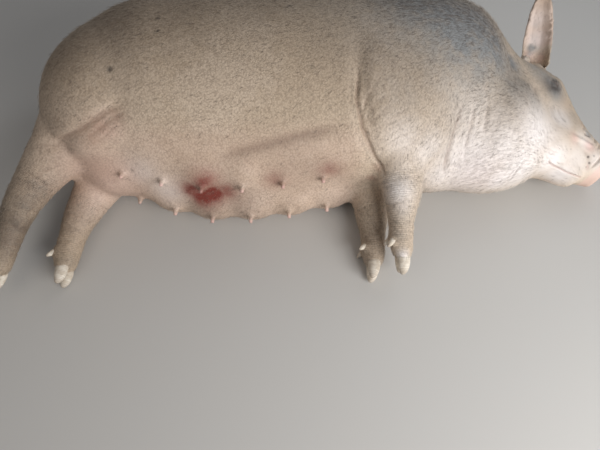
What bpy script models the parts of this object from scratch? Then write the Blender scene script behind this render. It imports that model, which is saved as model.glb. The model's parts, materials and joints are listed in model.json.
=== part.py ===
"""A nursing sow at rest on her left side, life size, in named solid pieces.

Her head is at +X, her back at +Y, her belly and legs at -Y, and her right side is up.
The floor is z = 0. Metres.
"""

import math

import bmesh
import bpy
import numpy as np
from mathutils import Matrix, Vector
from mathutils.bvhtree import BVHTree

# Driving sizes
TRUNK_LENGTH = 1.16  # tail base to the inside of the skull
TRUNK_DEPTH = 0.47  # back to belly
TRUNK_WIDTH = 0.384  # left side to right side
HEAD_LENGTH = 0.31  # poll to the front of the snout
HEAD_TURN = math.radians(-44)  # the head is bent towards the belly
HEAD_DIP = math.radians(9)  # the snout lies lower than the poll
EAR_LENGTH = 0.185
EAR_WIDTH = 0.080
EAR_THICKNESS = 0.006
EAR_WIDEST = 0.4  # share of its length
EYE_RADIUS = 0.0115
EAR_CUT = (0.096, 0.084)
EAR_DROOP = 0.020  # how far its tip bends back
# Thick root of the ear and the lobe beside its opening: middle, half sizes
EAR_LOBES = (
    ((-0.012, -0.006, 0.000), (0.024, 0.020, 0.026)),
    ((0.014, 0.004, -0.021), (0.018, 0.008, 0.009)),
)
SNOUT_RADIUS = 0.0445
SNOUT_BACK_RADIUS = 0.040
SNOUT_DEPTH = 0.030
SNOUT_TILT = math.radians(8)
CLAW_LENGTH = 0.040
CLAW_APART = 0.0133  # from the foot's middle line, at the root
CLAW_SPREAD = 0.0012  # and how much further at the tip
# Share of the claw's length, drop towards the sole, half depth, half width
CLAW_PROFILE = (
    (-0.10, 0.000, 0.0125, 0.0098),
    (0.10, 0.0005, 0.0145, 0.0112),
    (0.45, 0.0010, 0.0135, 0.0108),
    (0.75, 0.0022, 0.0105, 0.0090),
    (0.93, 0.0040, 0.0065, 0.0060),
    (1.00, 0.0052, 0.0025, 0.0026),
)
DEWCLAW_LENGTH = 0.022
DEWCLAW_ROOT = (-0.036, 0.020, 0.0155)
DEWCLAW_LEAN = (0.60, 0.62, 0.32)
DEWCLAW_PROFILE = ((0.0, 0.0075), (0.55, 0.0062), (1.0, 0.0022))  # share, radius
# A toe in the foot's frame: centre and radius at its joints, and the pad behind it
TOE = (
    ((-0.040, 0.000, 0.005), 0.0190),
    ((-0.018, 0.001, 0.010), 0.0165),
    ((0.008, 0.001, 0.0135), 0.0145),
)
TOE_PAD = ((-0.034, 0.019, 0.014), (0.013, 0.012, 0.012))
TEAT_LENGTH = 0.019
# Share of the teat's length beyond the skin, radius
TEAT_PROFILE = ((-0.53, 0.0085), (0.15, 0.0078), (0.60, 0.0062), (0.92, 0.0052), (1.0, 0.0028))
GLAND_SIZE = (0.074, 0.062, 0.066)
GLAND_ROWS = ((0.000, 0.020, 0.148), (0.012, 0.000, 0.062))  # ahead, back, level
UDDER_BACK = -0.385
UDDER_FRONT = 0.050
TEAT_LEVEL = 0.090  # teats above it point up, those below it down
TEAT_RISE = 4.0

GAP = 0.0003  # between pieces that touch
SOCKET_EASE = 1.4  # a socket's corners are eased by more than the gap
SINK = 0.020  # how far the flesh is flattened on the floor
MASS_VOXEL = 0.010  # grid that fuses the large masses
VOXEL = 0.0055  # grid that fuses the whole flesh
EAR_VOXEL = 0.0022
FLESH_TRIANGLES = 7600
EAR_TRIANGLES = 460
DETAIL_PULL = 1.0e-4  # how much more the weighted places keep their triangles
SIDES = 24  # points round a lofted section
EDGE_ANGLE = math.radians(50)  # above it, an edge is drawn sharp

TAIL_X = -0.580
POLL = Vector((0.562, 0.125, 0.112))
HEAD_FRAME = (
    Matrix.Translation(POLL)
    @ Matrix.Rotation(HEAD_TURN, 4, "Z")
    @ Matrix.Rotation(HEAD_DIP, 4, "Y")
)

# Trunk and neck: share of the length, middle of the back-to-belly depth in shares of
# that depth, share of the depth, share of the width
TRUNK = (
    (0.000, 0.10, 0.20, 0.22),
    (0.012, 0.07, 0.42, 0.46),
    (0.050, 0.06, 0.68, 0.72),
    (0.115, 0.05, 0.87, 0.90),
    (0.200, 0.035, 0.98, 0.99),
    (0.310, 0.03, 1.01, 1.00),
    (0.430, 0.03, 1.02, 1.00),
    (0.560, 0.03, 1.02, 1.00),
    (0.665, 0.035, 1.02, 0.98),
    (0.765, 0.10, 0.98, 0.94),
    (0.850, 0.155, 0.90, 0.86),
    (0.910, 0.205, 0.72, 0.71),
    (0.950, 0.205, 0.44, 0.52),
    (0.980, 0.15, 0.25, 0.36),
)

# Skull and upper jaw, in shares of the head's length: place along it, top of the
# profile, underside, half width
HEAD = (
    (-0.20, -0.06, -0.80, 0.40),
    (-0.05, -0.01, -0.85, 0.375),
    (0.10, 0.125, -0.86, 0.345),
    (0.25, 0.160, -0.82, 0.310),
    (0.37, 0.115, -0.74, 0.288),
    (0.50, 0.020, -0.65, 0.255),
    (0.63, -0.055, -0.58, 0.222),
    (0.77, -0.095, -0.520, 0.186),
    (0.89, -0.120, -0.480, 0.164),
    (0.960, -0.140, -0.450, 0.150),
)
# The face again, which grows out of the fused flesh from a smaller root inside it
FACE = ((0.02, -0.10, -0.72, 0.26),) + HEAD[3:]
JAW = (
    (0.10, -0.40, -0.860, 0.310),
    (0.35, -0.42, -0.780, 0.275),
    (0.55, -0.43, -0.690, 0.215),
    (0.72, -0.44, -0.610, 0.160),
    (0.84, -0.45, -0.565, 0.125),
    (0.90, -0.46, -0.535, 0.095),
)

# Flesh masses: centre, half sizes, turn about the vertical in degrees
MASSES = {
    "ham": ((-0.420, -0.030, 0.205), (0.150, 0.185, 0.142), -12),
    "lower_ham": ((-0.415, -0.060, 0.110), (0.130, 0.175, 0.115), 0),
    "shoulder": ((0.235, -0.020, 0.185), (0.135, 0.195, 0.158), 4),
    "brisket": ((0.290, -0.100, 0.100), (0.150, 0.112, 0.112), 0),
    "jowl": ((0.430, -0.080, 0.100), (0.170, 0.135, 0.115), 2),
    "cheek": ((0.575, -0.085, 0.095), (0.095, 0.080, 0.085), -12),
    "nape": ((0.470, 0.020, 0.130), (0.100, 0.110, 0.085), 0),
    "neck_top": ((0.440, 0.035, 0.165), (0.080, 0.092, 0.080), 0),
    "neck_side": ((0.448, -0.058, 0.130), (0.124, 0.128, 0.120), 0),
    "udder_bed": ((-0.165, -0.165, 0.108), (0.310, 0.082, 0.125), 0),
    "vulva": ((-0.578, 0.055, 0.160), (0.022, 0.030, 0.020), 0),
}

# Legs: centre and radius at each joint from the body down to the coronet
LEGS = {
    "fore_right": (
        ((0.225, -0.060, 0.205), 0.100),
        ((0.210, -0.160, 0.180), 0.072),
        ((0.218, -0.226, 0.155), 0.050),
        ((0.219, -0.270, 0.135), 0.040),
        ((0.217, -0.308, 0.112), 0.030),
        ((0.219, -0.347, 0.088), 0.027),
        ((0.221, -0.373, 0.072), 0.024),
    ),
    "fore_left": (
        ((0.170, -0.080, 0.090), 0.080),
        ((0.165, -0.160, 0.068), 0.058),
        ((0.166, -0.225, 0.050), 0.044),
        ((0.168, -0.268, 0.040), 0.038),
        ((0.168, -0.305, 0.032), 0.030),
        ((0.167, -0.345, 0.028), 0.028),
        ((0.165, -0.372, 0.027), 0.024),
    ),
    "hind_right": (
        ((-0.450, -0.060, 0.200), 0.112),
        ((-0.510, -0.130, 0.172), 0.078),
        ((-0.562, -0.200, 0.145), 0.053),
        ((-0.600, -0.262, 0.122), 0.041),
        ((-0.622, -0.315, 0.100), 0.033),
        ((-0.636, -0.370, 0.080), 0.030),
        ((-0.643, -0.408, 0.065), 0.025),
    ),
    "hind_left": (
        ((-0.430, -0.080, 0.090), 0.100),
        ((-0.462, -0.150, 0.070), 0.066),
        ((-0.490, -0.208, 0.052), 0.049),
        ((-0.512, -0.258, 0.041), 0.040),
        ((-0.521, -0.302, 0.034), 0.032),
        ((-0.524, -0.350, 0.030), 0.030),
        ((-0.522, -0.384, 0.028), 0.025),
    ),
}
TAIL = (
    ((-0.545, 0.115, 0.172), 0.0200),
    ((-0.578, 0.140, 0.172), 0.0160),
    ((-0.606, 0.154, 0.158), 0.0125),
    ((-0.620, 0.156, 0.128), 0.0100),
    ((-0.622, 0.148, 0.094), 0.0085),
    ((-0.624, 0.134, 0.060), 0.0070),
    ((-0.634, 0.114, 0.034), 0.0055),
    ((-0.650, 0.098, 0.024), 0.0040),
)

# Thin cuts that part the fused flesh: middle, direction they face, width, height
CUTS = {
    "head": ((0.445, 0.000, 0.11), (0.92, -0.39, 0.0), 0.75, 0.60),
    "neck": ((0.325, 0.020, 0.15), (1.0, -0.06, 0.0), 0.75, 0.60),
    "fore_right": ((0.219, -0.255, 0.141), (0.02, -0.907, -0.42), 0.13, 0.098),
    "fore_left": ((0.1665, -0.238, 0.048), (0.03, -0.98, -0.20), 0.105, 0.13),
    "hind_right": ((-0.569, -0.211, 0.141), (-0.53, -0.78, -0.33), 0.15, 0.15),
    "hind_left": ((-0.497, -0.224, 0.049), (-0.40, -0.90, -0.18), 0.13, 0.13),
}
UDDER_BOX = ((-0.440, -0.60, -0.05), (0.095, -0.172, 0.232))
UDDER_LINE = (-0.206, -0.250, -0.270, -0.270, -0.258, -0.240)  # lowest point at each gland

# Head details, in shares of the head's length: along it, height, distance to the side
SNOUT_AT = (0.952, -0.295, 0.0)
NOSTRIL_AT = (1.000, -0.290, 0.060)
NOSTRIL_SIZE = (0.060, 0.034, 0.026)
EYE_AT = (0.290, -0.165, 0.60)
EYE_SLIT = ((-0.040, 0.018), (0.000, 0.006), (0.045, -0.020))
EYE_SWELL = 0.0055
EYE_SWELL_RADIUS = 0.026
LID_THICKNESS = 0.0020
MOUTH = (
    (0.935, -0.475, 0.02),
    (0.925, -0.478, 0.09),
    (0.860, -0.490, 0.13),
    (0.760, -0.505, 0.16),
    (0.660, -0.505, 0.20),
    (0.580, -0.490, 0.24),
)
SNOUT_FOLDS = (0.70, 0.77, 0.84)
SNOUT_FOLD = ((0.0, -0.18, 0.0), (0.01, -0.23, 0.11), (0.01, -0.33, 0.15))
SNOUT_RIM = (
    (0.895, -0.19, 0.0),
    (0.900, -0.22, 0.09),
    (0.905, -0.31, 0.15),
    (0.905, -0.40, 0.12),
)
# Presses: width, depth, share that rises beside it
MOUTH_PRESS = (0.0032, 0.0042, 0.25)
EYE_PRESS = (0.0036, 0.0075, 0.25)
SNOUT_FOLD_PRESS = (0.0050, 0.0022, 0.15)
SNOUT_RIM_PRESS = (0.0060, 0.0035, 0.15)
EARS = {
    "right": ((0.075, -0.005, 0.187), (0.03, 0.745, 0.667), (-0.437, -0.58, 0.67), 0.056),
    "left": ((0.075, 0.010, -0.187), (0.03, 0.99, -0.10), (0.0, -0.10, -1.0), 0.066),
}

# Folds of the body: path, width, depth
BODY_FOLDS = {
    "flank": (
        (
            (-0.352, -0.150, 0.295),
            (-0.400, -0.170, 0.265),
            (-0.440, -0.170, 0.245),
            (-0.490, -0.175, 0.215),
            (-0.545, -0.150, 0.175),
        ),
        0.013,
        0.010,
    ),
    "elbow": (
        (
            (0.118, -0.020, 0.345),
            (0.115, -0.115, 0.310),
            (0.133, -0.150, 0.235),
            (0.163, -0.200, 0.165),
        ),
        0.014,
        0.009,
    ),
    "neck": (
        (
            (0.346, -0.090, 0.255),
            (0.338, -0.130, 0.215),
            (0.330, -0.170, 0.170),
            (0.325, -0.200, 0.110),
        ),
        0.019,
        0.005,
    ),
}

# A place inside each piece of flesh, by which it gets its name
NAMES = {
    "head": (0.60, 0.00, 0.10),
    "neck": (0.385, 0.03, 0.13),
    "torso": (-0.12, 0.04, 0.17),
    "udder": (-0.18, -0.215, 0.10),
    "leg_fore_right": (0.218, -0.308, 0.112),
    "leg_fore_left": (0.167, -0.30, 0.035),
    "leg_hind_right": (-0.620, -0.31, 0.10),
    "leg_hind_left": (-0.520, -0.31, 0.035),
}


def clear_scene():
    for old in list(bpy.data.objects):
        bpy.data.objects.remove(old, do_unlink=True)


def collection(name):
    made = bpy.data.collections.new(name)
    bpy.context.scene.collection.children.link(made)
    return made


def finish(name, colour, roughness):
    """A skin or horn material."""
    material = bpy.data.materials.new(name)
    material.use_nodes = True
    shader = material.node_tree.nodes["Principled BSDF"]
    shader.inputs["Base Color"].default_value = (*colour, 1.0)
    shader.inputs["Roughness"].default_value = roughness
    shader.inputs["Metallic"].default_value = 0.0
    return material


def add_object(name, bm, home, material=None):
    mesh = bpy.data.meshes.new(name)
    bm.to_mesh(mesh)
    bm.free()
    made = bpy.data.objects.new(name, mesh)
    if material:
        mesh.materials.append(material)
    home.objects.link(made)
    return made


def as_cutter(target):
    target.hide_render = True
    target.display_type = "WIRE"
    return target


def settle_modifiers(target):
    """Puts an object's modifiers into its own mesh."""
    bpy.context.view_layer.update()
    graph = bpy.context.evaluated_depsgraph_get()
    mesh = bpy.data.meshes.new_from_object(target.evaluated_get(graph))
    target.modifiers.clear()
    target.data = mesh


def fuse(name, forms, voxel, rounds, home):
    """One closed body from overlapping forms, with their joins rounded."""
    whole = bmesh.new()
    for form in forms:
        mesh = bpy.data.meshes.new("form")
        form.to_mesh(mesh)
        form.free()
        whole.from_mesh(mesh)
        bpy.data.meshes.remove(mesh)
    body = add_object(name, whole, home)
    remesh = body.modifiers.new("fuse", "REMESH")
    remesh.mode = "VOXEL"
    remesh.voxel_size = voxel
    smooth = body.modifiers.new("round", "SMOOTH")
    smooth.factor = 0.5
    smooth.iterations = rounds
    settle_modifiers(body)
    return body


def thin_out(target, triangles, keep=None):
    """Fewer triangles, and fewest where the surface is flat or the group is light."""
    count = sum(len(face.vertices) - 2 for face in target.data.polygons)
    fewer = target.modifiers.new("fewer", "DECIMATE")
    fewer.ratio = min(1.0, triangles / count)
    if keep:
        fewer.vertex_group = keep
        fewer.invert_vertex_group = True
        fewer.vertex_group_factor = DETAIL_PULL
    settle_modifiers(target)


def smooth_table(rows, steps):
    """More rows between the given ones, on smooth curves through them."""
    values = np.array(rows, dtype=float)
    padded = np.vstack([2 * values[0] - values[1], values, 2 * values[-1] - values[-2]])
    made = []
    for i in range(len(values) - 1):
        p0, p1, p2, p3 = padded[i : i + 4]
        for step in range(steps):
            t = step / steps
            rise = (p2 - p0) * t + (2 * p0 - 5 * p1 + 4 * p2 - p3) * t * t
            made.append(p1 + 0.5 * (rise + (3 * p1 - p0 - 3 * p2 + p3) * t**3))
    made.append(values[-1])
    return np.array(made)


def loft(sections, sides=SIDES):
    """A closed tube through elliptical sections: centre and its two half axes."""
    bm = bmesh.new()
    rings = []
    for centre, side, up in sections:
        normal = side.cross(up).normalized()
        axes = Matrix((side, up, normal)).transposed().to_4x4()
        ring = bmesh.ops.create_circle(
            bm, segments=sides, radius=1.0, matrix=Matrix.Translation(centre) @ axes
        )
        rings.append(ring["verts"])
    for ring in (rings[0], rings[-1]):
        bmesh.ops.contextual_create(bm, geom=ring)
    for a, b in zip(rings, rings[1:]):
        rim = {e for v in a for e in v.link_edges if e.other_vert(v) in a}
        rim |= {e for v in b for e in v.link_edges if e.other_vert(v) in b}
        bmesh.ops.bridge_loops(bm, edges=list(rim))
    bmesh.ops.recalc_face_normals(bm, faces=bm.faces)
    return bm


def tube(joints, steps=4, flatten=1.0, sides=SIDES):
    """A limb through joints, each a centre and a radius."""
    rows = smooth_table([(*centre, radius) for centre, radius in joints], steps)
    centres = [Vector(row[:3]) for row in rows]
    last = len(centres) - 1
    sections = []
    for i, centre in enumerate(centres):
        along = (centres[min(i + 1, last)] - centres[max(i - 1, 0)]).normalized()
        side = along.cross(Vector((0, 0, 1))).normalized()
        top = side.cross(along).normalized()
        sections.append((centre, side * rows[i][3], top * rows[i][3] * flatten))
    return loft(sections, sides)


def ellipsoid(centre, half_sizes, turn=0.0, segments=32, frame=Matrix()):
    bm = bmesh.new()
    bmesh.ops.create_uvsphere(bm, u_segments=segments, v_segments=segments // 2, radius=1.0)
    placed = (
        frame
        @ Matrix.Translation(Vector(centre))
        @ Matrix.Rotation(math.radians(turn), 4, "Z")
        @ Matrix.Diagonal((*half_sizes, 1.0))
    )
    bmesh.ops.transform(bm, matrix=placed, verts=bm.verts)
    return bm


def trunk_form():
    sections = []
    for share, middle, depth, width in smooth_table(TRUNK, 4):
        half_width = max(width, 0.05) * TRUNK_WIDTH / 2
        level = max(half_width - SINK, 0.105 + 0.045 * (1 - share))
        level = min(level, TRUNK_WIDTH / 2 - SINK)
        centre = Vector((TAIL_X + share * TRUNK_LENGTH, middle * TRUNK_DEPTH, level))
        half_depth = max(depth, 0.05) * TRUNK_DEPTH / 2
        sections.append((centre, Vector((0, half_depth, 0)), Vector((0, 0, half_width))))
    return loft(sections, 2 * SIDES)


def head_form(rows):
    """A length of the head, lofted in its own frame and then placed."""
    sections = []
    for share, top, bottom, half_width in smooth_table(rows, 3):
        centre = Vector((share, (top + bottom) / 2, 0.0)) * HEAD_LENGTH
        half_height = (top - bottom) / 2 * HEAD_LENGTH
        sections.append(
            (centre, Vector((0, half_height, 0)), Vector((0, 0, half_width * HEAD_LENGTH)))
        )
    bm = loft(sections)
    bmesh.ops.transform(bm, matrix=HEAD_FRAME, verts=bm.verts)
    return bm


def snout_form():
    """The round nose disc with its raised rim."""
    bm = bmesh.new()
    placed = (
        HEAD_FRAME
        @ Matrix.Translation(Vector(SNOUT_AT) * HEAD_LENGTH)
        @ Matrix.Rotation(SNOUT_TILT, 4, "Z")
        @ Matrix.Rotation(math.radians(90), 4, "Y")
    )
    bmesh.ops.create_cone(
        bm,
        cap_ends=True,
        segments=SIDES,
        radius1=SNOUT_BACK_RADIUS,
        radius2=SNOUT_RADIUS,
        depth=SNOUT_DEPTH,
        matrix=placed,
    )
    return bm


def udder_places():
    """Middle of each gland's skin: upper row and lower row, from the groin to the chest."""
    places = []
    for pair, lowest in enumerate(UDDER_LINE):
        x = UDDER_FRONT + (UDDER_BACK - UDDER_FRONT) * (1 - pair / (len(UDDER_LINE) - 1))
        for ahead, back, level in GLAND_ROWS:
            places.append(Vector((x + ahead, lowest + back, level)))
    return places


def gland_forms():
    """Long glands that run into each other, for a full bag rather than a row of balls."""
    return [
        ellipsoid(place + Vector((0, GLAND_SIZE[1], 0)), GLAND_SIZE, segments=24)
        for place in udder_places()
    ]


def foot_frame(leg):
    """Where the claws start: x along the foot, y to the sole side, z to the claws' row."""
    joints = LEGS[leg]
    end = Vector(joints[-1][0])
    along = (end - Vector(joints[-2][0])).normalized()
    sole = Vector((-1, 0, 0))
    sole = (sole - along * sole.dot(along)).normalized()
    row = along.cross(sole)
    axes = Matrix((along, sole, row)).transposed().to_4x4()
    return Matrix.Translation(end) @ axes


def mirrored(place, side):
    return Vector((place[0], place[1], place[2] * side))


def digit_forms(leg):
    frame = foot_frame(leg)
    forms = []
    for side in (-1, 1):
        joints = [(frame @ mirrored(centre, side), radius) for centre, radius in TOE]
        forms.append(tube(joints, 2))
        forms.append(ellipsoid(mirrored(TOE_PAD[0], side), TOE_PAD[1], 0, 16, frame))
    return forms


def claw_form(frame, side):
    """One main claw: rounded wall, flatter sole, blunt tip."""
    sections = []
    for share, drop, depth, width in CLAW_PROFILE:
        apart = CLAW_APART + CLAW_SPREAD * share
        centre = Vector((share * CLAW_LENGTH, drop, side * apart))
        sections.append((centre, Vector((0, depth, 0)), Vector((0, 0, width))))
    bm = loft(sections, 9)
    bmesh.ops.transform(bm, matrix=frame, verts=bm.verts)
    return bm


def dewclaw_form(frame, side):
    root = mirrored(DEWCLAW_ROOT, side)
    tip = root + mirrored(DEWCLAW_LEAN, side).normalized() * DEWCLAW_LENGTH
    joints = [(frame @ root.lerp(tip, share), radius) for share, radius in DEWCLAW_PROFILE]
    return tube(joints, 1, sides=7)


def ear_place(along, across):
    """A place on the ear's leaf: its share of the length, and -1 to 1 across it."""
    curl = math.radians(100 - 55 * along)
    radius = EAR_WIDTH * ear_outline(along) / (2 * math.sin(min(curl, math.radians(89))))
    angle = across * curl
    cup = -radius * (math.cos(angle) - math.cos(curl)) - EAR_DROOP * along**2
    return Vector((along * EAR_LENGTH, cup, radius * math.sin(angle)))


def ear_form():
    """A leaf of skin curled into a cup."""
    bm = bmesh.new()
    bmesh.ops.create_grid(bm, x_segments=14, y_segments=12, size=1.0)
    for vertex in bm.verts:
        vertex.co = ear_place((vertex.co.x + 1) / 2, vertex.co.y)
    return bm


def ear_outline(along):
    """Share of the ear's greatest width from its root to its tip."""
    if along < EAR_WIDEST:
        return 0.76 + 0.45 * along - 0.56 * along**2
    beyond = (along - EAR_WIDEST) / (1.02 - EAR_WIDEST)
    return 0.83 * math.sqrt(max(0.0, 1 - beyond**2)) + 0.02


def ear_axes(direction, opening):
    """Turns an ear so that it runs along one direction and its cup faces the other."""
    along = Vector(direction).normalized()
    face = Vector(opening)
    face = (face - along * face.dot(along)).normalized()
    return Matrix((along, face, along.cross(face))).transposed().to_4x4()


def head_point(along, height, side):
    """A place in the head's own frame, in shares of its length."""
    return HEAD_FRAME @ (Vector((along, height, side)) * HEAD_LENGTH)


def build_ear(name, frame, home):
    """The leaf with its thick root and the lobe beside the ear's opening."""
    sheet = add_object(name + "_sheet", ear_form(), home)
    wall = sheet.modifiers.new("wall", "SOLIDIFY")
    wall.thickness = EAR_THICKNESS
    wall.offset = 0.0
    settle_modifiers(sheet)
    leaf = bmesh.new()
    leaf.from_mesh(sheet.data)
    bpy.data.objects.remove(sheet, do_unlink=True)
    lobes = [ellipsoid(middle, half_sizes, 0, 24) for middle, half_sizes in EAR_LOBES]
    ear = fuse(name, [leaf, *lobes], EAR_VOXEL, 4, home)
    ear.data.transform(frame)
    thin_out(ear, EAR_TRIANGLES)


def surface_below(tree, start, towards):
    """Where a line from outside meets the flesh, and the surface's direction there."""
    place, normal, _, _ = tree.ray_cast(start, (towards - start).normalized())
    return place, normal


def distance_to_path(points, path):
    """Distance of each point to a path of short straight runs, and the share along it."""
    best = np.full(len(points), 1e9)
    share = np.zeros(len(points))
    for i in range(len(path) - 1):
        start = path[i]
        run = path[i + 1] - start
        t = np.clip((points - start) @ run / max(run @ run, 1e-12), 0.0, 1.0)
        gap = np.linalg.norm(points - (start + t[:, None] * run), axis=1)
        nearer = gap < best
        best[nearer] = gap[nearer]
        share[nearer] = ((i + t) / (len(path) - 1))[nearer]
    return best, share


class Sculptor:
    """Moves the points of a mesh along their normals, in presses and swellings.

    Each is placed on the surface as it was before the first of them.
    """

    def __init__(self, target):
        self.mesh = target.data
        count = len(self.mesh.vertices)
        self.points = np.empty(count * 3)
        self.mesh.vertices.foreach_get("co", self.points)
        self.points = self.points.reshape(-1, 3)
        self.rest = self.points.copy()
        self.normals = np.empty(count * 3)
        self.mesh.vertex_normals.foreach_get("vector", self.normals)
        self.normals = self.normals.reshape(-1, 3)
        bm = bmesh.new()
        bm.from_mesh(self.mesh)
        self.tree = BVHTree.FromBMesh(bm)
        bm.free()

    def on_surface(self, path):
        rows = smooth_table([tuple(point) for point in path], 5)
        return np.array([self.tree.find_nearest(Vector(row))[0] for row in rows])

    def press(self, path, width, depth, lip=0.15):
        """A fold along a path, deepest at its middle, with a soft lip on each side."""
        gap, share = distance_to_path(self.rest, self.on_surface(path))
        fade = np.sqrt(np.clip(np.sin(np.pi * np.clip(share, 0.02, 0.98)), 0, 1))
        amount = np.exp(-((gap / width) ** 2))
        amount -= lip * np.exp(-(((gap - 2.0 * width) / width) ** 2))
        self.points -= self.normals * (amount * depth * fade)[:, None]

    def swell(self, centre, radius, height):
        gap = np.linalg.norm(self.rest - np.array(centre), axis=1)
        self.points += self.normals * (height * np.exp(-((gap / radius) ** 2)))[:, None]

    def settle(self):
        self.mesh.vertices.foreach_set("co", self.points.ravel())
        self.mesh.update()


def refine(target, centre, reach):
    """Halves the mesh's grid near a place."""
    bm = bmesh.new()
    bm.from_mesh(target.data)
    middle = Vector(centre)
    near = {v for v in bm.verts if (v.co - middle).length < reach}
    edges = [e for e in bm.edges if e.verts[0] in near and e.verts[1] in near]
    bmesh.ops.subdivide_edges(bm, edges=edges, cuts=1, use_grid_fill=True)
    bmesh.ops.triangulate(bm, faces=[f for f in bm.faces if len(f.verts) > 4])
    bm.to_mesh(target.data)
    bm.free()


def eye_places(tree):
    """Skin over each eye and the direction it faces."""
    places = {}
    for name, side in (("right", 1), ("left", -1)):
        target = head_point(*EYE_AT[:2], 0.0)
        start = head_point(*EYE_AT[:2], EYE_AT[2] * side)
        places[name] = surface_below(tree, start, target)
    return places


def sculpt_head(flesh):
    refine(flesh, head_point(0.50, -0.30, 0.0), 0.66 * HEAD_LENGTH)
    for place, _ in eye_places(Sculptor(flesh).tree).values():
        refine(flesh, place, 0.030)
    tool = Sculptor(flesh)
    eyes = eye_places(tool.tree)
    for place, _ in eyes.values():
        tool.swell(place, EYE_SWELL_RADIUS, EYE_SWELL)
    for side in (-1, 1):
        mouth = [head_point(x, y, z * side) for x, y, z in MOUTH]
        tool.press(mouth, *MOUTH_PRESS)
        for along in SNOUT_FOLDS:
            fold = [head_point(along + x, y, z * side) for x, y, z in SNOUT_FOLD]
            tool.press(fold, *SNOUT_FOLD_PRESS)
        rim = [head_point(x, y, z * side) for x, y, z in SNOUT_RIM]
        tool.press(rim, *SNOUT_RIM_PRESS)
        lids = []
        for x, y in EYE_SLIT:
            lids.append(head_point(EYE_AT[0] + x, EYE_AT[1] + y, 0.30 * side))
        tool.press(lids, *EYE_PRESS)
    for path, width, depth in BODY_FOLDS.values():
        tool.press(path, width, depth)
    tool.settle()
    return eyes


def weight_detail(flesh):
    """A vertex group that keeps triangles on the head, and most round the eyes and mouth."""
    group = flesh.vertex_groups.new(name="detail")
    head_middle = head_point(0.45, -0.30, 0.0)
    fine = [head_point(*EYE_AT[:2], 0.28), head_point(*EYE_AT[:2], -0.28)]
    fine += [head_point(0.90, -0.38, 0.0)]
    for vertex in flesh.data.vertices:
        weight = 0.10
        if (vertex.co - head_middle).length < 0.70 * HEAD_LENGTH:
            weight = 0.45
        nearest = min((vertex.co - place).length for place in fine)
        if nearest < 0.040:
            weight = 0.9
        group.add([vertex.index], weight, "REPLACE")
    return group.name


def lay_flat(flesh):
    """Cuts the flesh at the floor, so that it rests on flats at one level."""
    bm = bmesh.new()
    bm.from_mesh(flesh.data)
    geometry = list(bm.verts) + list(bm.edges) + list(bm.faces)
    made = bmesh.ops.bisect_plane(
        bm, geom=geometry, plane_co=(0, 0, 0), plane_no=(0, 0, 1), clear_inner=True
    )
    rim = [e for e in made["geom_cut"] if isinstance(e, bmesh.types.BMEdge)]
    bmesh.ops.holes_fill(bm, edges=rim)
    bmesh.ops.triangulate(bm, faces=bm.faces)
    bm.to_mesh(flesh.data)
    bm.free()


def teat_form(place, direction):
    """A teat with its root deep in the gland."""
    joints = [
        (place + direction * share * TEAT_LENGTH, radius) for share, radius in TEAT_PROFILE
    ]
    return tube(joints, 1, sides=8)


def combine(target, home, operation):
    """One Boolean of a body with every object of a collection, which are then removed."""
    boolean = target.modifiers.new("combine", "BOOLEAN")
    boolean.operand_type = "COLLECTION"
    boolean.collection = home
    boolean.operation = operation
    boolean.solver = "EXACT"
    settle_modifiers(target)
    for piece in list(home.objects):
        bpy.data.objects.remove(piece, do_unlink=True)


def socket_for(piece, home):
    """A cutter the piece's own shape and a gap larger all round."""
    bm = bmesh.new()
    bm.from_mesh(piece.data)
    bm.normal_update()
    for vertex in bm.verts:
        vertex.co += vertex.normal * GAP * SOCKET_EASE
    return as_cutter(add_object(piece.name + "_socket", bm, home))


def thin_cut(name, middle, facing, width, height, home):
    bm = bmesh.new()
    bmesh.ops.create_cube(bm, size=1.0)
    along = Vector(facing).normalized()
    across = Vector((0, 0, 1)).cross(along).normalized()
    axes = Matrix((along, across, along.cross(across))).transposed().to_4x4()
    placed = Matrix.Translation(Vector(middle)) @ axes @ Matrix.Diagonal((GAP, width, height, 1))
    bmesh.ops.transform(bm, matrix=placed, verts=bm.verts)
    return as_cutter(add_object(name + "_cut", bm, home))


def udder_cut():
    """Three walls and a lid that part the udder from the belly, as one thin shell."""
    low, high = (Vector(corner) for corner in UDDER_BOX)
    bm = bmesh.new()
    for inset in (0.0, GAP):
        made = bmesh.ops.create_cube(bm, size=1.0)["verts"]
        size = high - low - Vector((2 * inset, inset, inset))
        middle = (low + high) / 2 - Vector((0, inset / 2, inset / 2))
        placed = Matrix.Translation(middle) @ Matrix.Diagonal((*size, 1.0))
        bmesh.ops.transform(bm, matrix=placed, verts=made)
        if inset:
            shell = {f for v in made for f in v.link_faces}
            bmesh.ops.reverse_faces(bm, faces=list(shell))
    return bm


def islands(target):
    """Groups of faces that hang together, each as a mesh of its own."""
    whole = bmesh.new()
    whole.from_mesh(target.data)
    waiting = set(whole.faces)
    groups = []
    while waiting:
        front = [waiting.pop()]
        group = {front[0].index}
        while front:
            face = front.pop()
            for edge in face.edges:
                for other in edge.link_faces:
                    if other in waiting:
                        waiting.remove(other)
                        front.append(other)
                        group.add(other.index)
        groups.append(group)
    whole.free()
    pieces = []
    for group in groups:
        bm = bmesh.new()
        bm.from_mesh(target.data)
        others = [face for face in bm.faces if face.index not in group]
        bmesh.ops.delete(bm, geom=others, context="FACES")
        pieces.append(bm)
    return pieces


def holds(bm, place):
    """Whether a place is inside a closed mesh."""
    tree = BVHTree.FromBMesh(bm)
    crossings = 0
    start = Vector(place)
    while True:
        hit, _, _, _ = tree.ray_cast(start, Vector((0.0, 0.0, 1.0)))
        if hit is None:
            return crossings % 2 == 1
        crossings += 1
        start = hit + Vector((0.0, 0.0, 1.0e-6))


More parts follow.
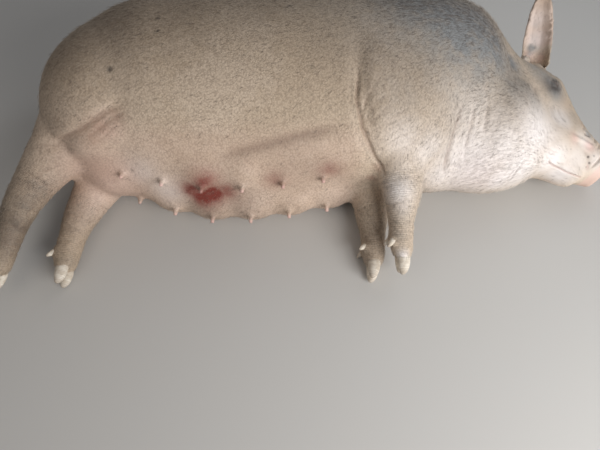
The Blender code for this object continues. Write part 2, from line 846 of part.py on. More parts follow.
def part_flesh(flesh, labels, home, material):
    """Makes each piece of the cut flesh its own object, and leaves out its crumbs."""
    for bm in islands(flesh):
        names = [name for name, place in labels.items() if holds(bm, place)]
        if names:
            add_object(names[0], bm, home, material)
        else:
            bm.free()
    bpy.data.objects.remove(flesh, do_unlink=True)


def centre_on_floor(home):
    """Brings the middle of the whole above the origin."""
    low = Vector((1e9, 1e9, 1e9))
    high = -low
    for piece in home.objects:
        for vertex in piece.data.vertices:
            low = Vector(map(min, low, vertex.co))
            high = Vector(map(max, high, vertex.co))
    shift = Matrix.Translation(Vector((-(low.x + high.x) / 2, -(low.y + high.y) / 2, 0)))
    for piece in home.objects:
        piece.data.transform(shift)


def main():
    clear_scene()
    sow = collection("sow")
    bench = collection("bench")
    skin = finish("skin", (0.74, 0.58, 0.50), 0.62)
    horn = finish("horn", (0.55, 0.46, 0.38), 0.45)
    wet = finish("eye", (0.05, 0.03, 0.02), 0.10)

    masses = [trunk_form(), head_form(HEAD), head_form(JAW)]
    masses += [ellipsoid(*mass) for mass in MASSES.values()]
    masses += gland_forms()
    body = fuse("masses", masses, MASS_VOXEL, 30, bench)
    forms = [bmesh.new(), head_form(FACE), head_form(JAW), snout_form()]
    forms[0].from_mesh(body.data)
    bpy.data.objects.remove(body, do_unlink=True)
    for leg, joints in LEGS.items():
        forms.append(tube(joints))
        forms += digit_forms(leg)
    forms += gland_forms()
    flesh = fuse("flesh", forms, VOXEL, 9, bench)
    eyes = sculpt_head(flesh)
    thin_out(flesh, FLESH_TRIANGLES, weight_detail(flesh))
    lay_flat(flesh)

    tree = Sculptor(flesh).tree
    unions = collection("unions")
    for place in udder_places():
        direction = Vector((0.0, -1.0, TEAT_RISE * (place.z - TEAT_LEVEL))).normalized()
        root, _ = surface_below(tree, place + direction * 0.2, place - direction * 0.1)
        add_object("teat", teat_form(root, direction), unions)
    ears = {}
    for name, (root, direction, opening, _) in EARS.items():
        ears[name] = Matrix.Translation(head_point(*root)) @ ear_axes(direction, opening)
        build_ear(f"ear_{name}_form", ears[name], unions)
    combine(flesh, unions, "UNION")

    cutters = collection("cutters")
    for leg in LEGS:
        frame = foot_frame(leg)
        for side, row in ((-1, "inner"), (1, "outer")):
            claw = add_object(f"claw_{leg}_{row}", claw_form(frame, side), sow, horn)
            dew = add_object(f"dewclaw_{leg}_{row}", dewclaw_form(frame, side), sow, horn)
            socket_for(claw, cutters)
            socket_for(dew, cutters)
    for name, (place, normal) in eyes.items():
        middle = place + normal * (EYE_SWELL - EYE_RADIUS - LID_THICKNESS)
        ball = add_object(f"eye_{name}", ellipsoid(middle, (EYE_RADIUS,) * 3, 0, 12), sow, wet)
        socket_for(ball, cutters)
    labels = {name: Vector(place) for name, place in NAMES.items()}
    for name, frame in ears.items():
        _, direction, _, parting = EARS[name]
        middle = frame @ Vector((parting, -0.010, 0.0))
        thin_cut(f"ear_{name}", middle, direction, *EAR_CUT, cutters)
        labels[f"ear_{name}"] = frame @ ear_place(0.5, 0.0)
    tail = add_object("tail", tube(TAIL, 2, sides=8), sow, skin)
    socket_for(tail, cutters)
    for name, cut in CUTS.items():
        thin_cut(name, *cut, cutters)
    as_cutter(add_object("udder_cut", udder_cut(), cutters))
    for side in (-1, 1):
        add_object(
            "nostril",
            ellipsoid(
                mirrored(NOSTRIL_AT, side) * HEAD_LENGTH,
                Vector(NOSTRIL_SIZE) * HEAD_LENGTH,
                0,
                12,
                HEAD_FRAME,
            ),
            cutters,
        )
    combine(flesh, cutters, "DIFFERENCE")
    part_flesh(flesh, labels, sow, skin)
    centre_on_floor(sow)
    for piece in sow.objects:
        piece.data.shade_smooth()
        piece.data.set_sharp_from_angle(angle=EDGE_ANGLE)


main()
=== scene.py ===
import json
import math

import bmesh
import bpy
import numpy as np
from mathutils import Matrix, Vector
from mathutils.bvhtree import BVHTree
from mathutils.kdtree import KDTree

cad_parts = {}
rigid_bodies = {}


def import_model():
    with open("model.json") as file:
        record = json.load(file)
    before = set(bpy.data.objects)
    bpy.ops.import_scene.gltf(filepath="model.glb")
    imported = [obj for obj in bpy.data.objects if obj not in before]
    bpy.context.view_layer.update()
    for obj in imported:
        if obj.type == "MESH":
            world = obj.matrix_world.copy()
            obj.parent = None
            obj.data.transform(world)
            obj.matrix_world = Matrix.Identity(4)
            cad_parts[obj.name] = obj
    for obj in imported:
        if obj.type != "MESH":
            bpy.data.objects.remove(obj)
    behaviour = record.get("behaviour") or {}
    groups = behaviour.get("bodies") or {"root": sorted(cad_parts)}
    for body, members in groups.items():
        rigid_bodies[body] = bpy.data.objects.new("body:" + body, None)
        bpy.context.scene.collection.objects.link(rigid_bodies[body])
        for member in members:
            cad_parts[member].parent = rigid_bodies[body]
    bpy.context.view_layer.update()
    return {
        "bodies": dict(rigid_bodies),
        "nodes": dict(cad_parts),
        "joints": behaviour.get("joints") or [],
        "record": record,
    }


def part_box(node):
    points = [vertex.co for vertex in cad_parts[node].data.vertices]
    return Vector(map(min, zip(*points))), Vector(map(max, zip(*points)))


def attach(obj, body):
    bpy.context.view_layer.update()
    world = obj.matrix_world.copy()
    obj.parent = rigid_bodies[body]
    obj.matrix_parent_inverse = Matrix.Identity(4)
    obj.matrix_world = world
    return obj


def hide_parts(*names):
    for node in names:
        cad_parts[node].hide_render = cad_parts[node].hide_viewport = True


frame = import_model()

nodes = frame["nodes"]
scene = bpy.context.scene
rng = np.random.default_rng(7)
scene.view_settings.view_transform = "Standard"

# the camera looks down on her from the belly side
camera = {
    "place": (-0.03416, -0.74202, 0.966),
    "target": (-0.03416, -0.25702, 0.126),
    "angle": math.radians(66),
    "width": 600,
    "height": 450,
}

# the head's own frame: x to the snout, y to the forehead, z to her right side
head = {
    "poll": (0.52784, 0.19798, 0.112),
    "turn": math.radians(-44),
    "dip": math.radians(9),
    "length": 0.31,
}
headFrame = (
    Matrix.Translation(Vector(head["poll"]))
    @ Matrix.Rotation(head["turn"], 4, "Z")
    @ Matrix.Rotation(head["dip"], 4, "Y")
)


def addObject(name, data):
    made = bpy.data.objects.new(name, data)
    scene.collection.objects.link(made)
    return made


def meshOf(bm, name):  # the bmesh as a new mesh
    mesh = bpy.data.meshes.new(name)
    bm.to_mesh(mesh)
    bm.free()
    return mesh


def headPoint(along, height, side):
    return headFrame @ (Vector((along, height, side)) * head["length"])


def addCamera():
    data = bpy.data.cameras.new("camera")
    data.angle = camera["angle"]
    data.clip_start = 0.02
    made = addObject("camera", data)
    place = Vector(camera["place"])
    made.location = place
    made.rotation_euler = (place - Vector(camera["target"])).to_track_quat("Z", "Y").to_euler()
    scene.camera = made


addCamera()
eyePoint = Vector(camera["place"])
lookAlong = (Vector(camera["target"]) - eyePoint).normalized()
lookRight = lookAlong.cross(Vector((0, 0, 1))).normalized()
lookUp = lookRight.cross(lookAlong)


def sightLine(x, y):  # direction from the camera through a place in the frame
    reach = math.tan(camera["angle"] / 2) / (camera["width"] / 2)
    across = (x - camera["width"] / 2) * reach
    up = (camera["height"] / 2 - y) * reach
    return (lookAlong + lookRight * across + lookUp * up).normalized()


def seenOn(tree, x, y):  # the place on a surface that lies behind a place in the frame
    return tree.ray_cast(eyePoint, sightLine(x, y))[0]


class Wire:  # a socket that adds its Math nodes when it is used in an expression
    def __init__(self, finish, socket):
        self.finish = finish
        self.socket = socket

    def combine(self, operation, first, second):
        return self.finish.node("Math", {"operation": operation}, {0: first, 1: second})

    def __add__(self, other):
        return self.combine("ADD", self, other)

    def __sub__(self, other):
        return self.combine("SUBTRACT", self, other)

    def __rsub__(self, other):
        return self.combine("SUBTRACT", other, self)

    def __mul__(self, other):
        return self.combine("MULTIPLY", self, other)

    __radd__ = __add__
    __rmul__ = __mul__

    def clipped(self):
        return self.finish.node("Clamp", {}, {0: self})


class Finish:  # a material and its nodes
    def __init__(self, name):
        self.material = bpy.data.materials.new(name)
        self.material.use_nodes = True
        self.tree = self.material.node_tree
        self.tree.nodes.clear()

    def node(self, kind, settings, sockets, output=0):
        made = self.tree.nodes.new("ShaderNode" + kind)
        for key, value in settings.items():
            setattr(made, key, value)
        for key, value in sockets.items():
            if isinstance(value, Wire):
                self.tree.links.new(value.socket, made.inputs[key])
            else:
                made.inputs[key].default_value = value
        return Wire(self, made.outputs[output])

    def place(self):
        return self.node("TexCoord", {}, {}, "Object")

    def attribute(self, name):
        return self.node("Attribute", {"attribute_name": name}, {}, "Fac")

    def blend(self, share, first, second):
        colours = {0: share, 6: first, 7: second}
        return self.node("Mix", {"data_type": "RGBA"}, colours, 2)

    def noise(self, scale, detail=2.0, roughness=0.5):
        sockets = {"Scale": scale, "Detail": detail, "Roughness": roughness, "Vector": self.place()}
        return self.node("TexNoise", {}, sockets, "Fac")

    def between(self, value, low, high):  # 0 below low, 1 above high, soft between them
        settings = {"interpolation_type": "SMOOTHSTEP"}
        return self.node("MapRange", settings, {0: value, 1: low, 2: high})

    def cells(self, scale, feature):  # distance in a pattern of cells
        sockets = {"Scale": scale, "Vector": self.place()}
        return self.node("TexVoronoi", {"feature": feature}, sockets, "Distance")

    def bump(self, height, strength, distance):
        return self.node("Bump", {}, {"Height": height, "Strength": strength, "Distance": distance})

    def surface(self, sockets):
        shader = self.node("BsdfPrincipled", {}, sockets)
        output = self.tree.nodes.new("ShaderNodeOutputMaterial")
        self.tree.links.new(shader.socket, output.inputs["Surface"])
        return self.material


studio = {
    "floor": (0.56, 0.55, 0.53, 1),
    "sky": (0.93, 0.95, 1.0, 1),
    "skyStrength": 0.19,
    "lamps": (  # place, size, power, colour
        ((1.2, -1.55, 0.95), 1.3, 41, (1.0, 0.99, 0.985)),
        ((-1.1, -0.8, 1.4), 1.2, 2.5, (1.0, 0.86, 0.7)),
        ((0.9, 0.9, 1.3), 1.0, 4.5, (0.92, 0.96, 1.0)),
    ),
}


def addFloor():
    finish = Finish("floor")
    grain = finish.noise(6.0, 3.0)
    tone = finish.blend(grain * 0.25, studio["floor"], (0.58, 0.55, 0.5, 1))
    material = finish.surface({"Base Color": tone, "Roughness": 0.85})
    bm = bmesh.new()
    bmesh.ops.create_grid(bm, x_segments=1, y_segments=1, size=6)
    floor = addObject("floor", meshOf(bm, "floor"))
    floor.data.materials.append(material)


def addLight():
    world = bpy.data.worlds.new("studio")
    world.use_nodes = True
    background = world.node_tree.nodes["Background"]
    background.inputs["Color"].default_value = studio["sky"]
    background.inputs["Strength"].default_value = studio["skyStrength"]
    scene.world = world
    for place, size, power, colour in studio["lamps"]:
        lamp = bpy.data.lights.new("lamp", "AREA")
        lamp.size = size
        lamp.energy = power
        lamp.color = colour
        made = addObject("lamp", lamp)
        made.location = place
        aim = Vector(place) - Vector((0.05, -0.05, 0.12))
        made.rotation_euler = aim.to_track_quat("Z", "Y").to_euler()


addFloor()
addLight()
print("floor, light and camera are in place")


# the skin is one mesh, made from the solids and worked over
skin = {
    "voxel": 0.003,
    "swell": 0.0004,  # closes the gaps between the solids
    "facetShare": 0.45,  # how wide the smoothing is, as a share of a facet
    "mostRounds": 80,
    "coatDepth": 0.0012,
    "triangles": 192000,
    "rest": 0.0004,  # its lowest height
    "restFade": 0.004,  # height over which the sinking under the coat sets in
    "byClaw": 0.0024,  # how much deeper it is sunk where it meets a claw
}
fleshNodes = (
    "head", "neck", "torso", "udder", "tail", "leg_fore_right", "leg_fore_left",
    "leg_hind_right", "leg_hind_left", "ear_right", "ear_left",
)
clawNodes = [name for name in nodes if "claw" in name]
eyeNodes = ("eye_right", "eye_left")


def mergedCopy(name):  # a node's mesh with its loose triangles joined
    bm = bmesh.new()
    bm.from_mesh(nodes[name].data)
    bmesh.ops.remove_doubles(bm, verts=bm.verts, dist=1e-6)
    return bm


def facetSizes(bm):
    return [np.mean([e.calc_length() for e in v.link_edges]) for v in bm.verts]


def settled(target):  # the mesh with its modifiers worked in
    graph = bpy.context.evaluated_depsgraph_get()
    mesh = bpy.data.meshes.new_from_object(target.evaluated_get(graph))
    target.modifiers.clear()
    old = target.data
    target.data = mesh
    bpy.data.meshes.remove(old)


def gathered(items, key, width, kind=np.float32):  # a value of each item, as rows
    values = np.empty(len(items) * width, kind)
    items.foreach_get(key, values)
    return values.reshape(-1, width)


def coordinates(mesh):
    return gathered(mesh.vertices, "co", 3).astype(float)


def directions(mesh):
    return gathered(mesh.vertex_normals, "vector", 3).astype(float)


def edgePairs(mesh):
    return gathered(mesh.edges, "vertices", 2, np.int32)


def putBack(mesh, points):
    mesh.vertices.foreach_set("co", points.astype(np.float32).ravel())
    mesh.update()


def carry(mesh, name, values):  # an attribute on the mesh's points
    layer = mesh.attributes.new(name, "FLOAT", "POINT")
    layer.data.foreach_set("value", values.astype(np.float32))


def smoothShaded(mesh):
    mesh.polygons.foreach_set("use_smooth", [True] * len(mesh.polygons))


def treeOf(meshes):
    whole = bmesh.new()
    for mesh in meshes:
        whole.from_mesh(mesh)
    tree = BVHTree.FromBMesh(whole)
    whole.free()
    return tree


def strongest(*values):  # the largest of several values at each point
    return np.maximum.reduce(values)


def nearestOf(places, points):  # index of the place that is nearest to each point
    tree = KDTree(len(places))
    for i, place in enumerate(places):
        tree.insert(place, i)
    tree.balance()
    return np.array([tree.find(point)[1] for point in points])


def gapTo(points, place):
    return np.linalg.norm(points - np.array(place), axis=1)


def bell(gap, reach):  # 1 at no gap, falling softly
    return np.exp(-((gap / reach) ** 2))


def bevelStep(value):  # 0 to 1, soft at both ends
    share = np.clip(value, 0, 1)
    return share * share * (3 - 2 * share)


def inFrame(frame, points):  # the points in the coordinates of a frame
    inverse = np.array(frame.inverted())
    return points @ inverse[:3, :3].T + inverse[:3, 3]


def boxCentre(name):
    low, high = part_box(name)
    return (Vector(low) + Vector(high)) / 2


def inBox(points, name, margin=0.0):  # points in the box of a node
    low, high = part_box(name)
    return ((points > np.array(low) - margin) & (points < np.array(high) + margin)).all(axis=1)


def neighbourMean(values, pairs):  # mean over the neighbours of each point
    first, second = pairs[:, 0], pairs[:, 1]
    count = len(values)
    share = np.bincount(pairs.ravel(), minlength=count)[:, None]
    total = np.empty((count, values.shape[1]))
    for axis in range(values.shape[1]):
        total[:, axis] = np.bincount(first, values[second, axis], count)
        total[:, axis] += np.bincount(second, values[first, axis], count)
    return total / np.maximum(share, 1)


def keepLargest(mesh):  # drops the small closed surfaces left in the joints
    pairs = edgePairs(mesh)
    label = np.arange(len(mesh.vertices))
    while True:
        low = np.minimum(label[pairs[:, 0]], label[pairs[:, 1]])
        new = label.copy()
        np.minimum.at(new, pairs[:, 0], low)
        np.minimum.at(new, pairs[:, 1], low)
        new = new[new]
        if (new == label).all():
            break
        label = new
    names, counts = np.unique(label, return_counts=True)
    best = names[counts.argmax()]
    bm = bmesh.new()
    bm.from_mesh(mesh)
    bm.verts.ensure_lookup_table()
    loose = [bm.verts[i] for i in np.nonzero(label != best)[0]]
    bmesh.ops.delete(bm, geom=loose, context="VERTS")
    bm.to_mesh(mesh)
    bm.free()


def fuseNodes():
    whole = bmesh.new()
    places, sizes = [], []
    for name in nodes:
        bm = mergedCopy(name)
        facets = facetSizes(bm)
        places += [v.co.copy() for v in bm.verts]
        sizes += facets
        bm.normal_update()
        for vertex in bm.verts:
            vertex.co += vertex.normal * skin["swell"]
        part = meshOf(bm, name)
        whole.from_mesh(part)
        bpy.data.meshes.remove(part)
    made = addObject("skin", meshOf(whole, "skin"))
    remesh = made.modifiers.new("grid", "REMESH")
    remesh.mode = "VOXEL"
    remesh.voxel_size = skin["voxel"]
    settled(made)
    keepLargest(made.data)
    return made, places, np.array(sizes)


def smoothFacets(made, places, sizes):  # wide where the solids' facets are wide
    points = coordinates(made.data)
    pairs = edgePairs(made.data)
    near = nearestOf(places, points)
    spread = (skin["facetShare"] * sizes[near]) ** 2 / (0.25 * skin["voxel"] ** 2)
    rounds = np.clip(spread, 2, skin["mostRounds"])[:, None]
    for _ in range(30):
        rounds = 0.5 * rounds + 0.5 * neighbourMean(rounds, pairs)
    for turn in range(skin["mostRounds"]):
        share = 0.5 * np.clip(rounds - turn, 0, 1)
        points += share * (neighbourMean(points, pairs) - points)
    points[:, 2] = np.maximum(points[:, 2], skin["rest"])
    putBack(made.data, points)


skinPiece, solidPlaces, solidSizes = fuseNodes()
print("skin fused:", len(skinPiece.data.vertices), "points")
smoothFacets(skinPiece, solidPlaces, solidSizes)
print("facets smoothed")

eye = {
    "radius": 0.0115,
    "lid": 0.0017,  # thickness of the lids
    "halfLength": 0.0102,
    "halfHeight": 0.004,  # half closed
    "sag": 0.0012,  # the opening's ends lie lower than its middle
    "around": 0.035,  # how far from the ball the skin is worked
    "hug": 0.0085,  # how far the lids are drawn in to the ball
    "rim": 0.0009,  # the lids' edge stands up by this
    "hollow": 0.0022,  # the skin behind the ball's front, in the opening
    "cornea": 0.035,  # its rise, as a share of the radius
    "tilt": math.radians(-14),
    # width, distance from the opening, depth
    "folds": ((0.0009, 0.005, 0.0013), (0.001, 0.0085, 0.001), (0.0012, 0.0125, 0.0008)),
}


def eyeFrames():  # x along the slit to the snout, y to the brow, z outwards
    frames = {}
    for name in eyeNodes:
        side = 1 if name == "eye_right" else -1
        axes = headFrame.to_3x3()
        outward = axes @ Vector((0.1, 0.3, 0.95 * side)).normalized()
        along = axes @ Vector((math.cos(eye["tilt"]), math.sin(eye["tilt"]), 0))
        along = (along - outward * along.dot(outward)).normalized()
        brow = axes @ Vector((0, 1, 0))
        brow = (brow - along * brow.dot(along) - outward * brow.dot(outward)).normalized()
        turned = Matrix((along, brow, outward)).transposed().to_4x4()
        frames[name] = Matrix.Translation(boxCentre(name)) @ turned
    return frames


eyeFrame = eyeFrames()
fine = {  # where the skin's grid is halved and softened: place, reach, rounds
    "halved": (((0.6, -0.33, 0.0), 0.15, 6), ((0.93, -0.38, 0.0), 0.075, 2)),
    "ears": (0.1, 11),
    "lips": (((0.86, -0.49, 0.13), (0.76, -0.505, 0.16), (0.66, -0.505, 0.2)), 0.02, 40),
    "eyes": (0.022, 60),
    "lidGrids": (0.022, 0.016),
    "lids": (0.018, 12),
}


def halveGrid(mesh, middle, reach):
    bm = bmesh.new()
    bm.from_mesh(mesh)
    centre = Vector(middle)
    near = {v for v in bm.verts if (v.co - centre).length < reach}
    edges = [e for e in bm.edges if e.verts[0] in near and e.verts[1] in near]
    bmesh.ops.subdivide_edges(bm, edges=edges, cuts=1, use_grid_fill=True)
    bmesh.ops.triangulate(bm, faces=[f for f in bm.faces if len(f.verts) > 4])
    bm.to_mesh(mesh)
    bm.free()


def easePoints(mesh, middle, reach, rounds):  # softens the grid near a place
    points = coordinates(mesh)
    pairs = edgePairs(mesh)
    gap = gapTo(points, middle)
    share = np.clip((reach - gap) / (0.25 * reach), 0, 1)[:, None]
    near = np.nonzero(gap < reach + 0.01)[0]
    index = np.full(len(points), -1)
    index[near] = np.arange(len(near))
    inner = index[pairs]
    inner = inner[(inner >= 0).all(axis=1)]
    local = points[near]
    for _ in range(rounds):
        local += 0.6 * share[near] * (neighbourMean(local, inner) - local)
    points[near] = local
    putBack(mesh, points)


def refineFace():
    mesh = skinPiece.data
    for name in ("ear_right", "ear_left"):
        easePoints(mesh, boxCentre(name), *fine["ears"])
    for spot, reach, rounds in fine["halved"]:
        middle = headPoint(*spot)
        halveGrid(mesh, middle, reach)
        easePoints(mesh, middle, reach, rounds)
    spots, reach, rounds = fine["lips"]
    for side in (1, -1):
        for along, height, across in spots:
            easePoints(mesh, headPoint(along, height, across * side), reach, rounds)
    for name in eyeNodes:
        middle = eyeFrame[name] @ Vector((0, 0, eye["radius"]))
        easePoints(mesh, middle, *fine["eyes"])
        for reach in fine["lidGrids"]:
            halveGrid(mesh, middle, reach)
        easePoints(mesh, middle, *fine["lids"])


refineFace()
print("face refined:", len(skinPiece.data.vertices), "points")


class Sculpt:  # gathers moves along the normals, and makes them at once
    def __init__(self, mesh):
        self.mesh = mesh
        self.points = coordinates(mesh)
        self.normals = directions(mesh)
        self.tree = treeOf([mesh])
        self.move = np.zeros(len(self.points))
        self.crease = np.zeros(len(self.points))

    def cheek(self, along, height, side):  # the skin on one side of the head
        target = headPoint(along, height, 0)
        start = headPoint(along, height, 1.2 * side)
        return self.tree.ray_cast(start, (target - start).normalized())[0]

    def route(self, stops):  # a close row of places on the skin through the stops
        places = [self.tree.find_nearest(stop) for stop in stops if stop is not None]
        row = []
        for first, second in zip(places, places[1:]):
            steps = max(2, int((second[0] - first[0]).length / 0.002))
            for i in range(steps):
                between = first[0].lerp(second[0], i / steps)
                hit = self.tree.find_nearest(between)
                row.append((hit[0], hit[1]))
        return row

    def near(self, row, reach):  # nearest place of a route to each point in reach
        spots = np.array([place for place, _ in row])
        faces = np.array([normal for _, normal in row])
        low, high = spots.min(axis=0) - reach, spots.max(axis=0) + reach
        inside = ((self.points > low) & (self.points < high)).all(axis=1)
        chosen = np.nonzero(inside)[0]
        gap = np.empty(len(chosen))
        stop = np.empty(len(chosen), int)
        for i in range(0, len(chosen), 4000):
            part = self.points[chosen[i:i + 4000], None] - spots[None]
            length = np.linalg.norm(part, axis=2)
            stop[i:i + 4000] = length.argmin(axis=1)
            gap[i:i + 4000] = length.min(axis=1)
        facing = (self.normals[chosen] * faces[stop]).sum(axis=1) > 0.1
        kept = facing & (gap < reach)
        return chosen[kept], gap[kept], stop[kept]

    def groove(self, stops, width, depth, rise=0.25, ends=0.25):
        row = self.route(stops)
        if len(row) < 2:
            return
        chosen, gap, stop = self.near(row, 4 * width)
        share = stop / (len(row) - 1)
        fade = bevelStep(np.minimum(share, 1 - share) / ends)
        shape = bell(gap, width) - rise * bell(gap - 2 * width, width)
        self.move[chosen] -= depth * fade * shape
        # the crease mark, which darkens the colour along the groove as painted shade
        dark = fade * bell(gap, 0.8 * width) * min(1.0, max(0.0, depth) / 0.004)
        self.crease[chosen] = np.maximum(self.crease[chosen], dark)

    def swell(self, place, reach, height):
        self.move += height * bell(gapTo(self.points, place), reach)

    def make(self):
        moved = self.points + self.normals * self.move[:, None]
        self.points = moved
        putBack(self.mesh, moved)
        self.normals = directions(self.mesh)
        self.move[:] = 0


work = Sculpt(skinPiece.data)

# places in the photo's frame, width and depth of each fold that shows there
bodyFolds = (
    (((124, 105), (106, 112), (80, 130), (50, 144)), 0.0048, 0.0046),
    (((128, 112), (108, 121), (86, 139)), 0.0036, 0.0022),
    (((130, 119), (112, 130), (94, 146)), 0.0034, 0.0016),
    (((127, 134), (116, 141), (106, 151)), 0.0034, -0.0012),
    (((208, 164), (238, 153), (290, 139), (352, 124)), 0.015, 0.0042),
    (((28, 141), (48, 147), (66, 141)), 0.0032, 0.0016),
    (((17, 164), (36, 172), (55, 168)), 0.0034, 0.0018),
    (((13, 176), (32, 184), (50, 180)), 0.0034, 0.0014),
    (((359, 58), (357, 99), (363, 128), (374, 156), (387, 190)), 0.0036, 0.0046),
    (((361, 112), (370, 90), (388, 68)), 0.0028, 0.001),
    (((371, 148), (392, 129), (418, 117)), 0.0028, 0.001),
    (((374, 155), (396, 139), (420, 130)), 0.0028, 0.0009),
    (((377, 163), (398, 150), (416, 144)), 0.0028, 0.0009),
    (((361, 120), (366, 100), (380, 82)), 0.0034, 0.0013),
    (((362, 127), (374, 106), (394, 90)), 0.0034, 0.0013),
    (((364, 133), (381, 112), (406, 98)), 0.0034, 0.0012),
    (((367, 140), (388, 120), (412, 108)), 0.0034, 0.001),
    (((464, 100), (454, 134), (442, 178)), 0.006, 0.0048),
    (((476, 104), (471, 128), (464, 152)), 0.0044, 0.002),
    (((490, 90), (487, 118), (482, 140)), 0.0044, 0.0012),
    (((526, 159), (518, 170), (509, 181)), 0.0028, 0.002),
    (((532, 46), (534, 24), (538, 3)), 0.0024, 0.0016),
    (((540, 52), (543, 28), (544, 4)), 0.0026, 0.0014),
    (((518, 34), (519, 48), (523, 57), (532, 63)), 0.0058, -0.004),
    (((527, 57), (529, 50), (532, 40)), 0.0052, 0.0024),
)
# the head's own frame, the same on both sides, width and depth
faceFolds = (
    (((0.76, -0.385), (0.822, -0.385), (0.87, -0.415), (0.905, -0.455)), 0.005, 0.0018),
    (((0.62, -0.44), (0.67, -0.395), (0.73, -0.335), (0.8, -0.305), (0.86, -0.335), (0.89, -0.38)),
     0.005, -0.0022),
    (((0.695, -0.27), (0.72, -0.249), (0.75, -0.232)), 0.0036, 0.0036),
    (((0.9, -0.22), (0.905, -0.3), (0.905, -0.38), (0.9, -0.44)), 0.0028, 0.0026),
    (((0.835, -0.2), (0.845, -0.25), (0.842, -0.3)), 0.0026, 0.0016),
    (((0.78, -0.17), (0.795, -0.22), (0.792, -0.26)), 0.0028, 0.0014),
    (((0.65, -0.13), (0.67, -0.2), (0.665, -0.27)), 0.003, 0.001),
    (((0.4, -0.3), (0.47, -0.36), (0.55, -0.39)), 0.005, 0.0016),
    (((0.36, -0.34), (0.43, -0.41), (0.52, -0.45)), 0.006, 0.0014),
    (((0.2, -0.3), (0.22, -0.42), (0.3, -0.55)), 0.008, 0.0016),
)
mouth = {
    "line": ((0.925, -0.48, 0.03), (0.905, -0.5, 0.07), (0.86, -0.545, 0.085), (0.79, -0.59, 0.09),
             (0.71, -0.615, 0.1), (0.64, -0.625, 0.115), (0.57, -0.62, 0.135)),
    "width": 0.0022,
    "depth": 0.0025,
    "lips": (((0.79, -0.49, 0.15), 0.02, 0.0016), ((0.68, -0.53, 0.19), 0.016, 0.001)),
}


def foldBody():
    for stops, width, depth in bodyFolds:
        work.groove([seenOn(work.tree, x, y) for x, y in stops], width, depth)
    for stops, width, depth in faceFolds:
        for side in (1, -1):
            work.groove([work.cheek(a, h, side) for a, h in stops], width, depth)
    for side in (1, -1):
        stops = [headPoint(a, h, z * side) for a, h, z in mouth["line"]]
        work.groove(stops, mouth["width"], mouth["depth"], ends=0.15)
        for (a, h, z), reach, rise in mouth["lips"]:
            work.swell(headPoint(a, h, z * side), reach, rise)


# the middle line of each leg, from its root to the claws
legLines = {
    "leg_fore_right": ((0.191, 0.013, 0.205), (0.176, -0.087, 0.18), (0.184, -0.153, 0.155),
                       (0.185, -0.197, 0.135), (0.183, -0.235, 0.112), (0.187, -0.3, 0.072)),
    "leg_fore_left": ((0.136, -0.007, 0.09), (0.131, -0.087, 0.068), (0.132, -0.152, 0.05),
                      (0.134, -0.195, 0.04), (0.134, -0.232, 0.032), (0.131, -0.299, 0.027)),
    "leg_hind_right": ((-0.484, 0.013, 0.2), (-0.544, -0.057, 0.172), (-0.596, -0.127, 0.145),
                       (-0.634, -0.189, 0.122), (-0.656, -0.242, 0.1), (-0.677, -0.335, 0.065)),
    "leg_hind_left": ((-0.464, -0.007, 0.09), (-0.496, -0.077, 0.07), (-0.524, -0.135, 0.052),
                      (-0.546, -0.185, 0.041), (-0.555, -0.229, 0.034), (-0.556, -0.311, 0.028)),
}
legRings = {"from": 2.3, "to": 4.6, "count": 11, "width": 0.0028, "depth": 0.0015}


def ringLegs():  # fine folds across each leg
    for name, line in legLines.items():
        for i in range(legRings["count"]):
            share = legRings["from"] + (legRings["to"] - legRings["from"]) * i / (legRings["count"] - 1)
            share += rng.uniform(-0.06, 0.06)
            step = min(int(share), len(line) - 2)
            first, second = Vector(line[step]), Vector(line[step + 1])
            middle = first.lerp(second, share - step)
            axis = (second - first).normalized()
            flat = axis.cross(Vector((0, 0, 1))).normalized()
            up = flat.cross(axis)
            start = rng.uniform(0, 2 * math.pi)
            span = rng.uniform(2.2, 4.2)
            stops = []
            for turn in range(7):
                angle = start + span * turn / 6
                ray = flat * math.cos(angle) + up * math.sin(angle) + axis * 0.08 * math.sin(3 * angle)
                stops.append(work.tree.ray_cast(middle, ray.normalized(), 0.09)[0])
            depth = legRings["depth"] * rng.uniform(0.6, 1.3)
            work.groove(stops, legRings["width"], depth, ends=0.4)


foldBody()
ringLegs()
work.make()
print("folds pressed")


